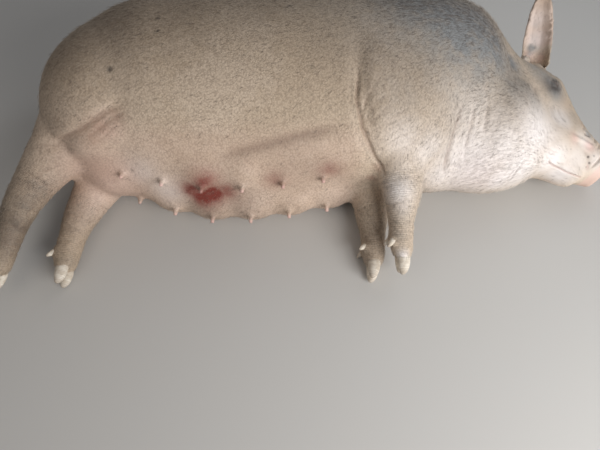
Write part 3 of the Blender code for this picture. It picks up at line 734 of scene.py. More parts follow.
def openEye(name):
    place = inFrame(eyeFrame[name], work.points)
    gap = np.linalg.norm(place, axis=1)
    near = (gap < eye["around"]) & (place[:, 2] > 0)
    radial = place[near] / gap[near, None]
    lidBall = eye["radius"] + eye["lid"]
    x, y = radial[:, 0] * lidBall, radial[:, 1] * lidBall
    flat = np.hypot(place[near, 0], place[near, 1])
    reach = np.maximum(gap[near], lidBall)  # the lids cover the ball
    share = np.clip(x / eye["halfLength"], -1.25, 1.25)
    middle = eye["sag"] * (1 - share ** 2) - 0.0006 * share
    arch = np.sqrt(np.clip(1 - share ** 2, 0, 1))
    arch = eye["halfHeight"] * arch
    off = np.where(y > middle, y - middle - arch, middle - y - 0.8 * arch)
    past = np.maximum(np.abs(x) - eye["halfLength"], 0)
    off = np.where(past > 0, np.hypot(past, np.abs(y - middle)), off)
    inside = bevelStep((0.0004 - off) / 0.001)
    pull = eye["hug"] * (1 - bevelStep((flat - 0.01) / 0.014))
    tight = np.maximum(lidBall, reach - pull)
    share = 1 - bevelStep((flat - 0.008) / 0.016)
    reach = reach + share * (tight - reach)
    rim = eye["rim"] * bell(off - 0.0013, 0.001)
    upper = np.where(y > middle, 1.0, 0.7)
    fold = np.zeros(len(x))
    for width, where, depth in eye["folds"]:
        wave = where + 0.0006 * np.sin(x * 420 + where * 900)
        fold += depth * bell(off - wave, width)
        fold -= 0.4 * depth * bell(off - wave - 2 * width, width)
    spokes = 0.0004 * np.sin(np.arctan2(y, x) * 17 + 2 * np.sin(x * 300))
    spokes *= bevelStep((off - 0.004) / 0.004) * (1 - bevelStep((off - 0.013) / 0.006))
    reach = reach + rim - upper * fold * (1 - inside) + spokes
    behind = eye["radius"] - eye["hollow"]
    reach = np.where(inside > 0, reach * (1 - inside) + behind * inside, reach)
    moved = radial * reach[:, None]
    frame = np.array(eyeFrame[name])
    work.points[near] = moved @ frame[:3, :3].T + frame[:3, 3]
    # the lid slit is painted darker, as shade
    dark = bell(off - 0.0002, 0.0012) * 0.8
    index = np.nonzero(near)[0]
    work.crease[index] = np.maximum(work.crease[index], dark)
    lash[index] = np.where(y > middle, bell(off - 0.0026, 0.001), 0) * (np.abs(x) < 0.009)


lash = np.zeros(len(work.points))
for eyeName in eyeNodes:
    openEye(eyeName)
print("lids opened")

nostril = {"at": (0.995, -0.29, 0.06), "reach": 0.0085, "depth": 0.01, "rim": 0.0012}


def openNostrils():
    axes = np.array(headFrame.to_3x3())
    for side in (1, -1):
        along, height, across = nostril["at"]
        centre = np.array(headPoint(along, height, across * side))
        place = (work.points - centre) @ axes
        gap = np.hypot(place[:, 1], place[:, 2] * 1.15)
        near = (np.abs(place[:, 0]) < 0.016) & (gap < 0.03)
        hole = bevelStep((nostril["reach"] - gap) / 0.0035)
        rim = nostril["rim"] * bell(gap - nostril["reach"] - 0.0015, 0.0022)
        reach = np.where(near, rim - hole * nostril["depth"] * (1 + place[:, 0] / 0.016), 0)
        work.points += reach[:, None] * axes[:, 0]
        # the holes are painted dark, as shade
        work.crease = np.maximum(work.crease, np.where(near, 1.4 * hole, 0))


openNostrils()
putBack(work.mesh, work.points)
work.normals = directions(work.mesh)
print("nostrils opened")


def nodeTree(names):
    return treeOf([nodes[name].data for name in names])


fleshTree = nodeTree(fleshNodes)


def distanceTo(tree, points, reach=1.0):
    found = [tree.find_nearest(point, reach)[3] for point in points]
    return np.array([reach if gap is None else gap for gap in found])


def sinkSkin():  # under the claws, and by the coat's depth elsewhere
    points, normals = work.points, work.normals
    clawTree = nodeTree(clawNodes)
    byClaw = np.zeros(len(points))
    near = np.nonzero((points[:, 1] < -0.2))[0]
    claw = distanceTo(clawTree, points[near], 0.02)
    flesh = distanceTo(fleshTree, points[near], 0.05)
    byClaw[near] = np.where(claw < 0.004, bevelStep((flesh - 0.0012) / 0.003), 0)
    faceGap = gapTo(points, headPoint(0.93, -0.36, 0))
    eyeGap = np.min([gapTo(points, eyeFrame[name].translation) for name in eyeNodes], axis=0)
    bare = np.maximum(1 - bevelStep((faceGap - 0.05) / 0.06), 1 - bevelStep((eyeGap - 0.018) / 0.02))
    depth = skin["coatDepth"] * (1 - 0.9 * bare)
    depth = np.where(byClaw > 0, depth + skin["byClaw"] * byClaw, depth)
    floorGap = bevelStep((points[:, 2] - skin["rest"]) / skin["restFade"])
    moved = points - normals * (depth * floorGap)[:, None]
    moved[:, 2] = np.maximum(moved[:, 2], skin["rest"])
    work.points = moved
    putBack(work.mesh, moved)
    return byClaw


clawShare = sinkSkin()
print("skin sunk under the coat")


def proudness():  # how far each place stands out of the broad form
    points = work.points
    pairs = edgePairs(work.mesh)
    broad = points.copy()
    for _ in range(90):
        broad += 0.5 * (neighbourMean(broad, pairs) - broad)
    return ((points - broad) * directions(work.mesh)).sum(axis=1)


proud = proudness()


kept = {  # how firmly the skin's grid is kept when it is thinned: place, reach, weight
    "elsewhere": 0.12,
    "head": (((0.6, -0.33, 0), 0.17, 0.35), ((0.93, -0.38, 0), 0.08, 0.55)),
    "eyes": (0.03, 0.97),
}


def thinSkin():
    mesh = skinPiece.data
    points = work.points
    weight = np.full(len(points), kept["elsewhere"])
    for spot, reach, share in kept["head"]:
        weight = np.where(gapTo(points, headPoint(*spot)) < reach, share, weight)
    reach, share = kept["eyes"]
    for name in eyeNodes:
        weight = np.where(gapTo(points, eyeFrame[name].translation) < reach, share, weight)
    weight = np.maximum(weight, 0.6 * work.crease)
    group = skinPiece.vertex_groups.new(name="detail")
    levels = np.round(weight, 2)
    for level in np.unique(levels):
        group.add(np.nonzero(levels == level)[0].tolist(), float(level), "REPLACE")
    faces = sum(len(face.vertices) - 2 for face in mesh.polygons)
    thin = skinPiece.modifiers.new("thin", "DECIMATE")
    thin.ratio = min(1.0, skin["triangles"] / faces)
    thin.vertex_group = group.name
    thin.invert_vertex_group = True
    thin.vertex_group_factor = 8.0
    settled(skinPiece)
    skinPiece.vertex_groups.clear()
    mesh = skinPiece.data
    smoothShaded(mesh)
    mesh.update()
    print("skin thinned:", len(mesh.polygons), "faces")


thinSkin()


class Surface:  # the finished skin, for the marks and the coat
    def __init__(self, mesh):
        self.points = coordinates(mesh)
        self.normals = directions(mesh)
        mesh.calc_loop_triangles()
        self.corners = gathered(mesh.loop_triangles, "vertices", 3, np.int32)
        self.tree = treeOf([mesh])
        self.source = nearestOf(work.points, self.points)


hide = Surface(skinPiece.data)

carried = ("grey", "pale", "tan", "red", "dirtAndShade", "paintedShadeAndEyePatch", "pink", "crease", "smooth")
# spots on the skin: place in the photo's frame, reach, strength
marks = {
    "grey": (
        # the small spots at the ear's opening are painted shade, in the hole and along a streak up its
        # inside
        (430, 8, 0.14, 1.1), (465, 25, 0.14, 1.4), (500, 62, 0.05, 1.0), (492, 44, 0.09, 1.25),
        (478, 62, 0.07, 0.9), (390, 12, 0.12, 0.45), (455, 65, 0.1, 0.55), (512, 64, 0.034, 1.2),
        (508, 80, 0.07, 0.65), (340, 6, 0.09, 0.25), (540, 72, 0.036, 0.85), (404, 90, 0.07, 0.28),
        (530, 95, 0.045, 0.45), (485, 75, 0.06, 0.5), (520, 84, 0.05, 0.55), (553, 82, 0.028, 0.9),
        (556, 93, 0.024, 0.8), (480, 100, 0.05, 0.25), (536, 24, 0.01, 0.35), (533, 38, 0.01, 0.4),
        (575, 118, 0.022, 0.35), (588, 134, 0.012, 1.0), (395, 178, 0.022, 0.1), (402, 218, 0.02, 0.35),
        (400, 234, 0.016, 0.3), (531, 48, 0.01, 1.5), (529, 54, 0.007, 0.9),
    ),
    "pale": (
        (537, 134, 0.08, 1.0), (475, 165, 0.11, 1.0), (520, 165, 0.09, 1.0), (575, 160, 0.05, 0.62),
        (552, 160, 0.05, 1.0), (560, 174, 0.04, 1.0), (505, 150, 0.08, 0.9), (445, 172, 0.06, 0.8),
        (470, 120, 0.08, 0.5), (430, 150, 0.05, 0.6), (404, 140, 0.045, 0.45), (402, 203, 0.024, 0.5),
        (560, 118, 0.036, 0.75), (584, 142, 0.032, 0.6), (596, 160, 0.03, 0.6), (500, 178, 0.06, 1.0),
        (402, 256, 0.014, 0.9), (500, 125, 0.06, 0.5), (538, 20, 0.03, 0.6), (538, 40, 0.03, 0.8),
        (404, 165, 0.035, 0.3), (398, 190, 0.034, 0.85), (519, 48, 0.012, 0.6), (524, 59, 0.014, 0.35),
        (531, 64, 0.012, 0.35), (142, 172, 0.04, 0.35), (168, 190, 0.045, 0.45),
    ),
    "tan": (
        (100, 127, 0.026, 0.55), (92, 136, 0.026, 0.5), (116, 117, 0.018, 0.4), (140, 195, 0.05, 0.25),
        (100, 168, 0.04, 0.25), (378, 168, 0.012, 0.5), (566, 104, 0.025, 0.12), (582, 124, 0.022, 0.2),
    ),
    "red": (
        (193, 190, 0.026, 1.3), (203, 196, 0.028, 1.5), (213, 193, 0.03, 1.4), (226, 191, 0.026, 0.9),
        (205, 184, 0.034, 1.0), (275, 180, 0.024, 0.5), (330, 170, 0.026, 0.55), (372, 178, 0.012, 0.5),
    ),
    "pink": (
        (529, 56, 0.016, 0.4), (540, 58, 0.012, 0.35), (575, 138, 0.014, 0.35), (590, 146, 0.014, 0.45),
        (110, 130, 0.04, 0.22), (250, 165, 0.06, 0.15), (480, 175, 0.06, 0.12),
    ),
    "dirtAndShade": (
        # specks of dirt, and painted shade: broad dark spots on the back and the hind legs low down; the
        # spot by the eye is the eye patch's own brown
        (588, 157, 0.0035, 0.7), (589, 163, 0.003, 0.6), (586, 167, 0.003, 0.5), (594, 156, 0.003, 0.5),
        (563, 150, 0.0022, 0.45), (567, 153, 0.0022, 0.45), (571, 149, 0.0022, 0.45),
        (566, 146, 0.002, 0.4), (158, 18, 0.0045, 1.0), (158, 31, 0.004, 1.0), (111, 69, 0.006, 1.0),
        (44, 66, 0.005, 0.8), (132, 170, 0.0045, 0.9), (290, 6, 0.0045, 0.9), (313, 65, 0.0035, 0.8),
        (60, 130, 0.07, 0.16), (35, 190, 0.08, 0.3), (15, 220, 0.09, 0.36), (66, 262, 0.05, 0.26),
        (554, 86, 0.022, 0.62), (70, 95, 0.06, 0.1), (120, 30, 0.09, 0.12), (398, 225, 0.03, 0.2),
        (404, 240, 0.02, 0.25), (140, 200, 0.045, 0.22),
    ),
    "paintedShadeAndEyePatch": (
        # painted shade where less light falls on her: her back, shoulder and rump, under the belly and
        # the hind legs low down; the spot by the eye is the eye patch's own brown
        (70, 45, 0.11, 0.5), (110, 20, 0.13, 0.55), (180, 8, 0.13, 0.42), (250, 4, 0.12, 0.3),
        (375, 55, 0.09, 0.32), (330, 40, 0.1, 0.16), (55, 85, 0.09, 0.25), (45, 120, 0.08, 0.1),
        (554, 86, 0.03, 1.0), (240, 205, 0.06, 0.35), (300, 170, 0.07, 0.2), (210, 212, 0.04, 0.45),
        (60, 160, 0.06, 0.18), (380, 105, 0.04, 0.15), (70, 215, 0.06, 0.3), (22, 200, 0.07, 0.45),
        (8, 235, 0.08, 0.65), (345, 200, 0.05, 0.25), (370, 240, 0.06, 0.3),
    ),
}
earFrame = {  # root, direction of the tip and of the opening, in the head's frame
    "ear_right": ((0.075, -0.005, 0.187), (0.03, 0.745, 0.667), (-0.437, -0.58, 0.67)),
    "ear_left": ((0.075, 0.01, -0.187), (0.03, 0.99, -0.1), (0.0, -0.1, -1.0)),
}


def headPlaces(points):  # in the head's own frame, in head lengths
    return inFrame(headFrame, points) / head["length"]


def legPlaces(points):  # how far down its leg each place is, and how wrinkled it is there
    run = np.zeros(len(points))
    wrinkly = np.zeros(len(points))
    for line in legLines.values():
        best = np.full(len(points), 0.06)
        done = 0.0
        for first, second in zip(line, line[1:]):
            first, second = np.array(first), np.array(second)
            step = second - first
            length = np.linalg.norm(step)
            share = np.clip(((points - first) @ step) / length ** 2, 0, 1)
            gap = np.linalg.norm(points - first - share[:, None] * step, axis=1)
            closer = gap < best
            best = np.where(closer, gap, best)
            run = np.where(closer, done + share * length, run)
            done += length
        mask = bevelStep((0.055 - best) / 0.01) * bevelStep((run - 0.14) / 0.04)
        wrinkly = np.where(best < 0.06, np.maximum(wrinkly, mask), wrinkly)
    return run, wrinkly


def markSkin():
    points, normals = hide.points, hide.normals
    marked = {}
    for name, spots in marks.items():
        value = np.zeros(len(points))
        for x, y, reach, strength in spots:
            place = seenOn(hide.tree, x, y)
            if place is None:
                continue
            value = np.maximum(value, strength * bell(gapTo(points, place), reach))
        marked[name] = value
    inEar = np.zeros(len(points))
    onEar = np.zeros(len(points))
    axes = headFrame.to_3x3()
    for name, (_, _, opening) in earFrame.items():
        facing = normals @ np.array(axes @ Vector(opening).normalized())
        near = np.nonzero(inBox(points, name, 0.004))[0]
        tree = nodeTree([name])
        close = distanceTo(tree, points[near], 0.05) < 0.0035
        inEar[near] = np.maximum(inEar[near], close * bevelStep((facing[near] - 0.05) / 0.4))
        onEar[near] = np.maximum(onEar[near], close)
    place = headPlaces(points)
    disc = bevelStep((place[:, 0] - 0.925) / 0.03) * (place[:, 1] > -0.47)
    lips = work.crease[hide.source] * (place[:, 0] > 0.56) * (place[:, 1] < -0.42)
    udderTree = nodeTree(["udder"])
    near = np.nonzero(inBox(points, "udder", 0.07))[0]
    gap = distanceTo(udderTree, points[near], 0.07)
    onUdder = np.zeros(len(points))
    onUdder[near] = 1 - bevelStep(gap / 0.065)
    teat = onUdder * bevelStep((proud[hide.source] - 0.0022) / 0.004)
    groin = bell(gapTo(points, (-0.46, -0.12, 0.13)), 0.11)
    pink = strongest(
        marked["pink"], 0.18 * inEar, 0.38 * disc, 0.6 * lips, 0.13 * onUdder + 0.55 * teat, 0.35 * groin
    )
    lid = np.zeros(len(points))
    for name in eyeNodes:
        local = inFrame(eyeFrame[name], points)
        gap = np.hypot(local[:, 0] * 0.75, local[:, 1] + 0.001) * (local[:, 2] > 0)
        gap = np.where(local[:, 2] > 0, gap, 1.0)
        marked["grey"] = np.maximum(marked["grey"], 0.85 * bell(gap, 0.026))
        lid = np.maximum(lid, np.exp(-((gap / 0.009) ** 4)))
    face = bevelStep((place[:, 0] - 0.15) / 0.4) * 0.65
    marked["smooth"] = strongest(face, 0.85 * disc, 0.8 * inEar, teat)
    # the nostril holes painted dark, as shade
    nostrilShade = np.clip(work.crease[hide.source] - 1, 0, 1)
    marked["dirtAndShade"] = np.maximum(marked["dirtAndShade"], 1.6 * nostrilShade)
    run, wrinkly = legPlaces(points)
    marked.update({
        "legRun": run, "wrinkly": wrinkly,
        "pink": pink, "inEar": inEar, "onEar": onEar, "disc": disc, "onUdder": onUdder,
        "teat": teat, "lid": lid, "crease": np.clip(work.crease[hide.source], 0, 1),
        "byClaw": clawShare[hide.source], "proud": proud[hide.source], "lash": lash[hide.source],
    })
    for name in carried + ("legRun", "wrinkly"):
        carry(skinPiece.data, name, marked[name])
    return marked


mark = markSkin()
print("markings placed")

tones = {
    "cream": (0.55, 0.435, 0.318, 1),
    "rose": (0.63, 0.51, 0.39, 1),
    "pale": (0.93, 0.88, 0.86, 1),
    "pink": (0.78, 0.47, 0.43, 1),
    "tan": (0.42, 0.25, 0.18, 1),
    "red": (0.2, 0.034, 0.022, 1),
    "grey": (0.285, 0.292, 0.29, 1),
    # painted shade, and the eye patch's own brown
    "paintedShadeAndEyePatch": (0.125, 0.09, 0.068, 1),
    "pebble": (0.2, 0.135, 0.095, 1),
    # painted shade in the creases, the lid slits and the nostrils
    "fold": (0.215, 0.14, 0.103, 1),
    # dirt, and painted shade
    "dirtAndShade": (0.045, 0.035, 0.028, 1),
    "freckle": (0.16, 0.13, 0.12, 1),
    "paleHair": (0.9, 0.8, 0.66, 1),
    "darkHair": (0.13, 0.1, 0.085, 1),
    "iris": ((0.1, 0.055, 0.03, 1), (0.22, 0.13, 0.075, 1)),
    "eyeWhite": ((0.46, 0.33, 0.27, 1), (0.62, 0.52, 0.46, 1)),
    "irisEdge": (0.03, 0.02, 0.02, 1),
    "pupil": (0.006, 0.006, 0.008, 1),
    "horn": ((0.84, 0.77, 0.66, 1), (0.66, 0.58, 0.47, 1)),
    "hornRings": (0.2, 0.15, 0.11, 1),
    "hornTip": (0.24, 0.18, 0.13, 1),
    "hornRoot": (0.62, 0.5, 0.42, 1),
}


pebbles = 235.0  # scale of the hide's grain


def hideTone(finish):  # the markings and the painted shade, the same on the skin and on the coat
    broad = finish.noise(4.5, 3.0)
    close = finish.noise(38.0, 3.0, 0.6)
    mottle = finish.between(broad + (close - 0.5) * 0.35, 0.38, 0.62)
    tone = finish.blend(mottle, tones["cream"], tones["rose"])
    pebble = finish.between(finish.cells(pebbles, "F1"), 0.3, 0.8) * (1 - finish.attribute("smooth"))
    tone = finish.blend(pebble * 0.36, tone, tones["pebble"])
    # painted shade, and the eye patch's brown
    tone = finish.blend(finish.attribute("paintedShadeAndEyePatch").clipped(), tone, tones["paintedShadeAndEyePatch"])
    tone = finish.blend((finish.attribute("pale") * 0.9).clipped(), tone, tones["pale"])
    tone = finish.blend(finish.attribute("pink"), tone, tones["pink"])
    patchy = finish.between(close, 0.3, 0.62)
    for name, broken, share in (("tan", 0.5, 1.0), ("red", 0.3, 1.0), ("grey", 0.35, 0.9)):
        spread = finish.attribute(name) * (patchy * broken + (1 - broken)) * share
        tone = finish.blend(spread.clipped(), tone, tones[name])
    # painted shade in the creases, the lid slits and the nostrils
    tone = finish.blend((finish.attribute("crease") * 0.55).clipped(), tone, tones["fold"])
    # dirt, and painted shade on the back, the hind legs and in the nostrils
    dirtAndShade = finish.attribute("dirtAndShade") * (patchy * 0.6 + 0.4)
    return finish.blend(finish.between(dirtAndShade, 0.02, 0.75), tone, tones["dirtAndShade"])


def hideFinish():
    finish = Finish("hide")
    tone = hideTone(finish)
    pores = finish.cells(pebbles, "F1")
    thick = finish.noise(9.0, 2.0)
    freckle = (1 - finish.between(pores, 0.08, 0.22)) * finish.between(thick, 0.4, 0.62)
    tone = finish.blend(freckle * 0.45, tone, tones["freckle"])
    cells = finish.cells(340.0, "DISTANCE_TO_EDGE")
    grain = finish.noise(300.0, 3.0, 0.6)
    wrinkle = finish.noise(70.0, 4.0, 0.65)
    turn = finish.attribute("legRun") * 1500.0 + finish.noise(26.0, 2.0) * 9.0
    rings = finish.node("Math", {"operation": "SINE"}, {0: turn}) * finish.attribute("wrinkly")
    crackle = finish.between(cells, 0.0, 0.14) * (1 - finish.attribute("pink")) * 0.1
    grainy = (0.6 - pores) * (1 - finish.attribute("smooth"))
    height = crackle + grainy * 0.7 + grain * 0.3 + wrinkle * 0.8 + rings * 0.7
    normal = finish.bump(height, 0.4, 0.0014)
    rough = 0.6 - finish.attribute("pink") * 0.16 + (wrinkle - 0.5) * 0.2
    return finish.surface({"Base Color": tone, "Roughness": rough.clipped(), "Normal": normal})


skinPiece.data.materials.clear()
skinPiece.data.materials.append(hideFinish())
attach(skinPiece, "root")
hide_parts(*fleshNodes)


def vectorNode(finish, operation, first, second=(0, 0, 0), output="Vector"):
    return finish.node("VectorMath", {"operation": operation}, {0: first, 1: second}, output)


def eyeFinish(name):  # a brown iris with a dark pupil, its white mottled brown
    finish = Finish(name)
    centre = eyeFrame[name].translation
    outward = eyeFrame[name].to_3x3() @ Vector((0.06, 0.02, 1)).normalized()
    away = vectorNode(finish, "SUBTRACT", finish.place(), tuple(centre))
    away = vectorNode(finish, "NORMALIZE", away)
    share = vectorNode(finish, "DOT_PRODUCT", away, tuple(outward), "Value")
    streak = finish.noise(900.0, 4.0, 0.7)
    iris = finish.blend(finish.between(streak, 0.3, 0.7), *tones["iris"])
    white = finish.blend(finish.noise(500.0, 3.0), *tones["eyeWhite"])
    tone = finish.blend(finish.between(share, 0.76, 0.83), white, iris)
    ring = finish.between(share, 0.7, 0.8) * (1 - finish.between(share, 0.82, 0.9))
    tone = finish.blend(ring * 0.7, tone, tones["irisEdge"])
    tone = finish.blend(finish.between(share, 0.935, 0.95), tone, tones["pupil"])
    wet = {"Roughness": 0.18, "Coat Weight": 1.0, "Coat Roughness": 0.03}
    return finish.surface({"Base Color": tone, **wet})


def addEyes():
    for name in eyeNodes:
        bm = bmesh.new()
        bmesh.ops.create_uvsphere(bm, u_segments=48, v_segments=32, radius=eye["radius"])
        for vertex in bm.verts:
            front = vertex.co.z / eye["radius"]
            if front > 0.8:  # the cornea stands out a little
                vertex.co *= 1 + eye["cornea"] * (front - 0.8) / 0.2
        bmesh.ops.transform(bm, matrix=eyeFrame[name], verts=bm.verts)
        ball = addObject(name + "_ball", meshOf(bm, name + "_ball"))
        smoothShaded(ball.data)
        ball.data.materials.append(eyeFinish(name))
        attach(ball, "root")
        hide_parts(name)


addEyes()
print("eyes set")

claw = {"swell": 0.0007, "rings": 0.00012, "rest": 0.0002}


def clawFinish():
    finish = Finish("horn")
    along = finish.attribute("along")
    sockets = {"W": along * 34 + finish.noise(60.0) * 1.2, "Scale": 1.0, "Detail": 2.0}
    rings = finish.node("TexNoise", {"noise_dimensions": "1D"}, sockets, "Fac")
    mottle = finish.noise(90.0, 3.0)
    tone = finish.blend(finish.between(mottle, 0.35, 0.65), *tones["horn"])
    tone = finish.blend(finish.between(rings, 0.45, 0.62) * 0.45, tone, tones["hornRings"])
    tone = finish.blend(finish.between(along, 0.7, 1.0) * 0.5, tone, tones["hornTip"])
    tone = finish.blend((1 - finish.between(along, 0.0, 0.16)) * 0.6, tone, tones["hornRoot"])
    height = rings + finish.noise(400.0, 2.0) * 0.3
    normal = finish.bump(height, 0.4, 0.0008)
    return finish.surface({"Base Color": tone, "Roughness": 0.48 + mottle * 0.2, "Normal": normal})


def addClaws():
    material = clawFinish()
    for name in clawNodes:
        bm = mergedCopy(name)
        bmesh.ops.join_triangles(bm, faces=bm.faces, angle_face_threshold=0.9, angle_shape_threshold=1.2)
        made = addObject(name + "_horn", meshOf(bm, name + "_horn"))
        rounder = made.modifiers.new("rounder", "SUBSURF")
        rounder.levels = rounder.render_levels = 2
        settled(made)
        mesh = made.data
        points, normals = coordinates(mesh), directions(mesh)
        foot = np.array(legLines["leg_" + "_".join(name.split("_")[1:3])][-1])
        centre = points.mean(axis=0)
        axis = np.linalg.svd(points - centre, full_matrices=False)[2][0]
        if (centre - foot) @ axis < 0:
            axis = -axis
        along = (points - centre) @ axis
        along = (along - along.min()) / (along.max() - along.min())
        ripple = claw["rings"] * np.sin(along * 60 + 3 * np.sin(along * 9))
        points += normals * (claw["swell"] + ripple)[:, None]
        points[:, 2] = np.maximum(points[:, 2], claw["rest"])
        putBack(mesh, points)
        carry(mesh, "along", along)
        smoothShaded(mesh)
        mesh.materials.clear()
        mesh.materials.append(material)
        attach(made, "root")
        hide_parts(name)


addClaws()
print("claws finished")

coat = {
    "flat": 270000,  # tufts that lie flat
    "edge": 38000,  # longer tufts where the coat breaks the form
    "share": 0.1,  # of them dark, and more where the skin is grey
    "width": 0.00062,
    "sink": 0.0004,
    "relief": 0.35,  # how much a tuft's own faces show in its shading
    "patch": 0.003,  # size of a tuft's place on the map for baking
    "rest": 0.0003,
    "mostFlat": 49000,  # tufts in one piece
    "mostEdge": 19500,
}
tailLine = (
    (-0.579, 0.188, 0.172), (-0.612, 0.213, 0.172), (-0.64, 0.227, 0.158), (-0.654, 0.229, 0.128),
    (-0.656, 0.221, 0.094), (-0.658, 0.207, 0.06), (-0.668, 0.187, 0.034), (-0.684, 0.171, 0.024),
)


def lieOfCoat():  # place, direction, length and density of the coat
    axes = headFrame.to_3x3()
    rows = []
    for place, aim, length, dense in (
        ((0.97, -0.28, 0.0), (-0.3, 1.0, 0.0), 0.003, 0.5),
        ((0.85, -0.13, 0.0), (-1.0, 0.1, 0.0), 0.0045, 0.9),
        ((0.85, -0.3, 0.15), (-1.0, -0.2, 0.2), 0.0045, 0.9),
        ((0.8, -0.55, 0.0), (-1.0, 0.0, 0.0), 0.008, 1.1),
        ((0.55, 0.0, 0.0), (-1.0, 0.2, 0.0), 0.007, 1.0),
        ((0.5, -0.3, 0.28), (-1.0, -0.35, 0.0), 0.007, 1.0),
        ((0.25, -0.15, 0.3), (-1.0, 0.25, 0.0), 0.006, 1.0),
        ((0.5, -0.65, 0.0), (-1.0, -0.2, 0.0), 0.011, 1.2),
        ((0.2, 0.15, 0.0), (-1.0, 0.1, 0.0), 0.011, 1.2),
        ((0.1, -0.45, 0.33), (-1.0, -0.5, 0.0), 0.011, 1.1),
    ):
        for side in (1, -1) if place[2] else (1,):  # both sides of the head
            spot = headPoint(place[0], place[1], place[2] * side)
            turned = Vector((aim[0], aim[1], aim[2] * side))
            rows.append((spot, axes @ turned, length, dense))
    for place, aim, length, dense in (
        ((0.38, 0.3, 0.25), (-1, 0.0, -0.2), 0.018, 1.5),
        ((0.4, 0.18, 0.33), (-1, -0.25, 0), 0.014, 1.3),
        ((0.4, 0.0, 0.28), (-1, -0.4, -0.1), 0.011, 1.1),
        ((0.4, -0.1, 0.12), (-0.9, -0.4, -0.3), 0.013, 1.1),
        ((0.24, 0.33, 0.22), (-1, 0.0, -0.3), 0.018, 1.5),
        ((0.22, 0.2, 0.34), (-1, -0.25, 0), 0.014, 1.2),
        ((0.2, 0.02, 0.35), (-0.8, -0.6, 0), 0.012, 1.0),
        ((0.2, -0.12, 0.28), (-0.4, -1.0, -0.2), 0.011, 1.0),
        ((0.0, 0.34, 0.2), (-1, 0.0, -0.3), 0.015, 1.2),
        ((0.0, 0.15, 0.36), (-1, -0.35, 0), 0.012, 1.0),
        ((0.0, -0.05, 0.33), (-0.9, -0.6, -0.2), 0.011, 0.9),
        ((0.0, -0.17, 0.2), (-0.8, -0.3, -0.5), 0.01, 0.8),
        ((-0.25, 0.34, 0.2), (-1, 0.0, -0.3), 0.015, 1.2),
        ((-0.25, 0.15, 0.36), (-1, -0.35, 0), 0.012, 1.0),
        ((-0.25, -0.05, 0.32), (-0.9, -0.6, -0.2), 0.011, 0.9),
        ((-0.25, -0.18, 0.18), (-0.8, -0.3, -0.5), 0.009, 0.7),
        ((-0.48, 0.25, 0.26), (-1, -0.1, -0.3), 0.014, 1.1),
        ((-0.5, 0.08, 0.3), (-0.8, -0.7, -0.1), 0.012, 1.0),
        ((-0.62, 0.1, 0.18), (-0.4, -0.7, -0.6), 0.012, 1.0),
        ((-0.2, 0.3, 0.05), (-1, 0.0, -0.2), 0.012, 0.8),
        ((0.2, 0.3, 0.05), (-1, 0.0, -0.2), 0.013, 0.8),
        ((-0.45, -0.1, 0.1), (-0.5, -0.8, -0.2), 0.008, 0.6),
    ):
        rows.append((Vector(place), Vector(aim), 0.8 * length, dense))
    for line in list(legLines.values()) + [tailLine]:
        for i, (first, second) in enumerate(zip(line, line[1:])):
            if i < 1 and line is not tailLine:
                continue
            first, second = Vector(first), Vector(second)
            reach = 0.0095 - 0.0009 * i
            if line is tailLine:
                reach = 0.01 + 0.004 * i
            for share in (0.0, 0.5, 1.0):
                rows.append((first.lerp(second, share), second - first, reach, 1.1))
    for root, tip, _ in earFrame.values():
        for share in (0.05, 0.25, 0.5, 0.75, 1.0):
            place = headPoint(*root) + (axes @ Vector(tip)).normalized() * share * 0.14
            rows.append((place, axes @ Vector(tip), 0.007, 1.3))
    places = np.array([tuple(row[0]) for row in rows])
    aims = np.array([tuple(row[1].normalized()) for row in rows])
    rest = np.array([(row[2], row[3]) for row in rows])
    return places, aims, rest


liePlaces, lieAims, lieRest = lieOfCoat()


def lieAt(points):
    aims = np.empty((len(points), 3))
    rest = np.empty((len(points), 2))
    for i in range(0, len(points), 20000):
        part = points[i:i + 20000]
        gap = np.linalg.norm(part[:, None] - liePlaces[None], axis=2)
        weight = 1 / (gap + 0.01) ** 4
        weight /= weight.sum(axis=1, keepdims=True)
        aims[i:i + 20000] = weight @ lieAims
        rest[i:i + 20000] = weight @ lieRest
    return aims, rest[:, 0], rest[:, 1]


skinDense = lieAt(hide.points)[2]


def bareness():  # 1 where no hair grows
    resting = 1 - bevelStep((hide.points[:, 2] - 0.004) / 0.006)
    teats = bevelStep(mark["teat"] * 1.5)
    ears, udder = 0.75 * mark["inEar"], 0.5 * mark["onUdder"]
    bare = strongest(mark["disc"], mark["byClaw"], mark["lid"], teats, ears, udder, resting)
    return np.clip(bare, 0, 1)


hairless = bareness()


def pickRoots(count, weight):  # random places on the skin, more where the weight is high
    corners = hide.corners
    a, b, c = (hide.points[corners[:, i]] for i in range(3))
    area = 0.5 * np.linalg.norm(np.cross(b - a, c - a), axis=1)
    share = area * weight[corners].mean(axis=1)
    faces = rng.choice(len(corners), count, p=share / share.sum())
    first, second = rng.random(count), rng.random(count)
    flip = first + second > 1
    first[flip], second[flip] = 1 - first[flip], 1 - second[flip]
    shares = np.stack((1 - first - second, first, second), axis=1)
    chosen = corners[faces]
    places = (hide.points[chosen] * shares[..., None]).sum(axis=1)
    normals = (hide.normals[chosen] * shares[..., None]).sum(axis=1)
    normals /= np.linalg.norm(normals, axis=1, keepdims=True)
    tufts = {name: (mark[name][chosen] * shares).sum(axis=1) for name in carried}
    return {**tufts, "places": places, "normals": normals, "near": chosen[:, 0]}


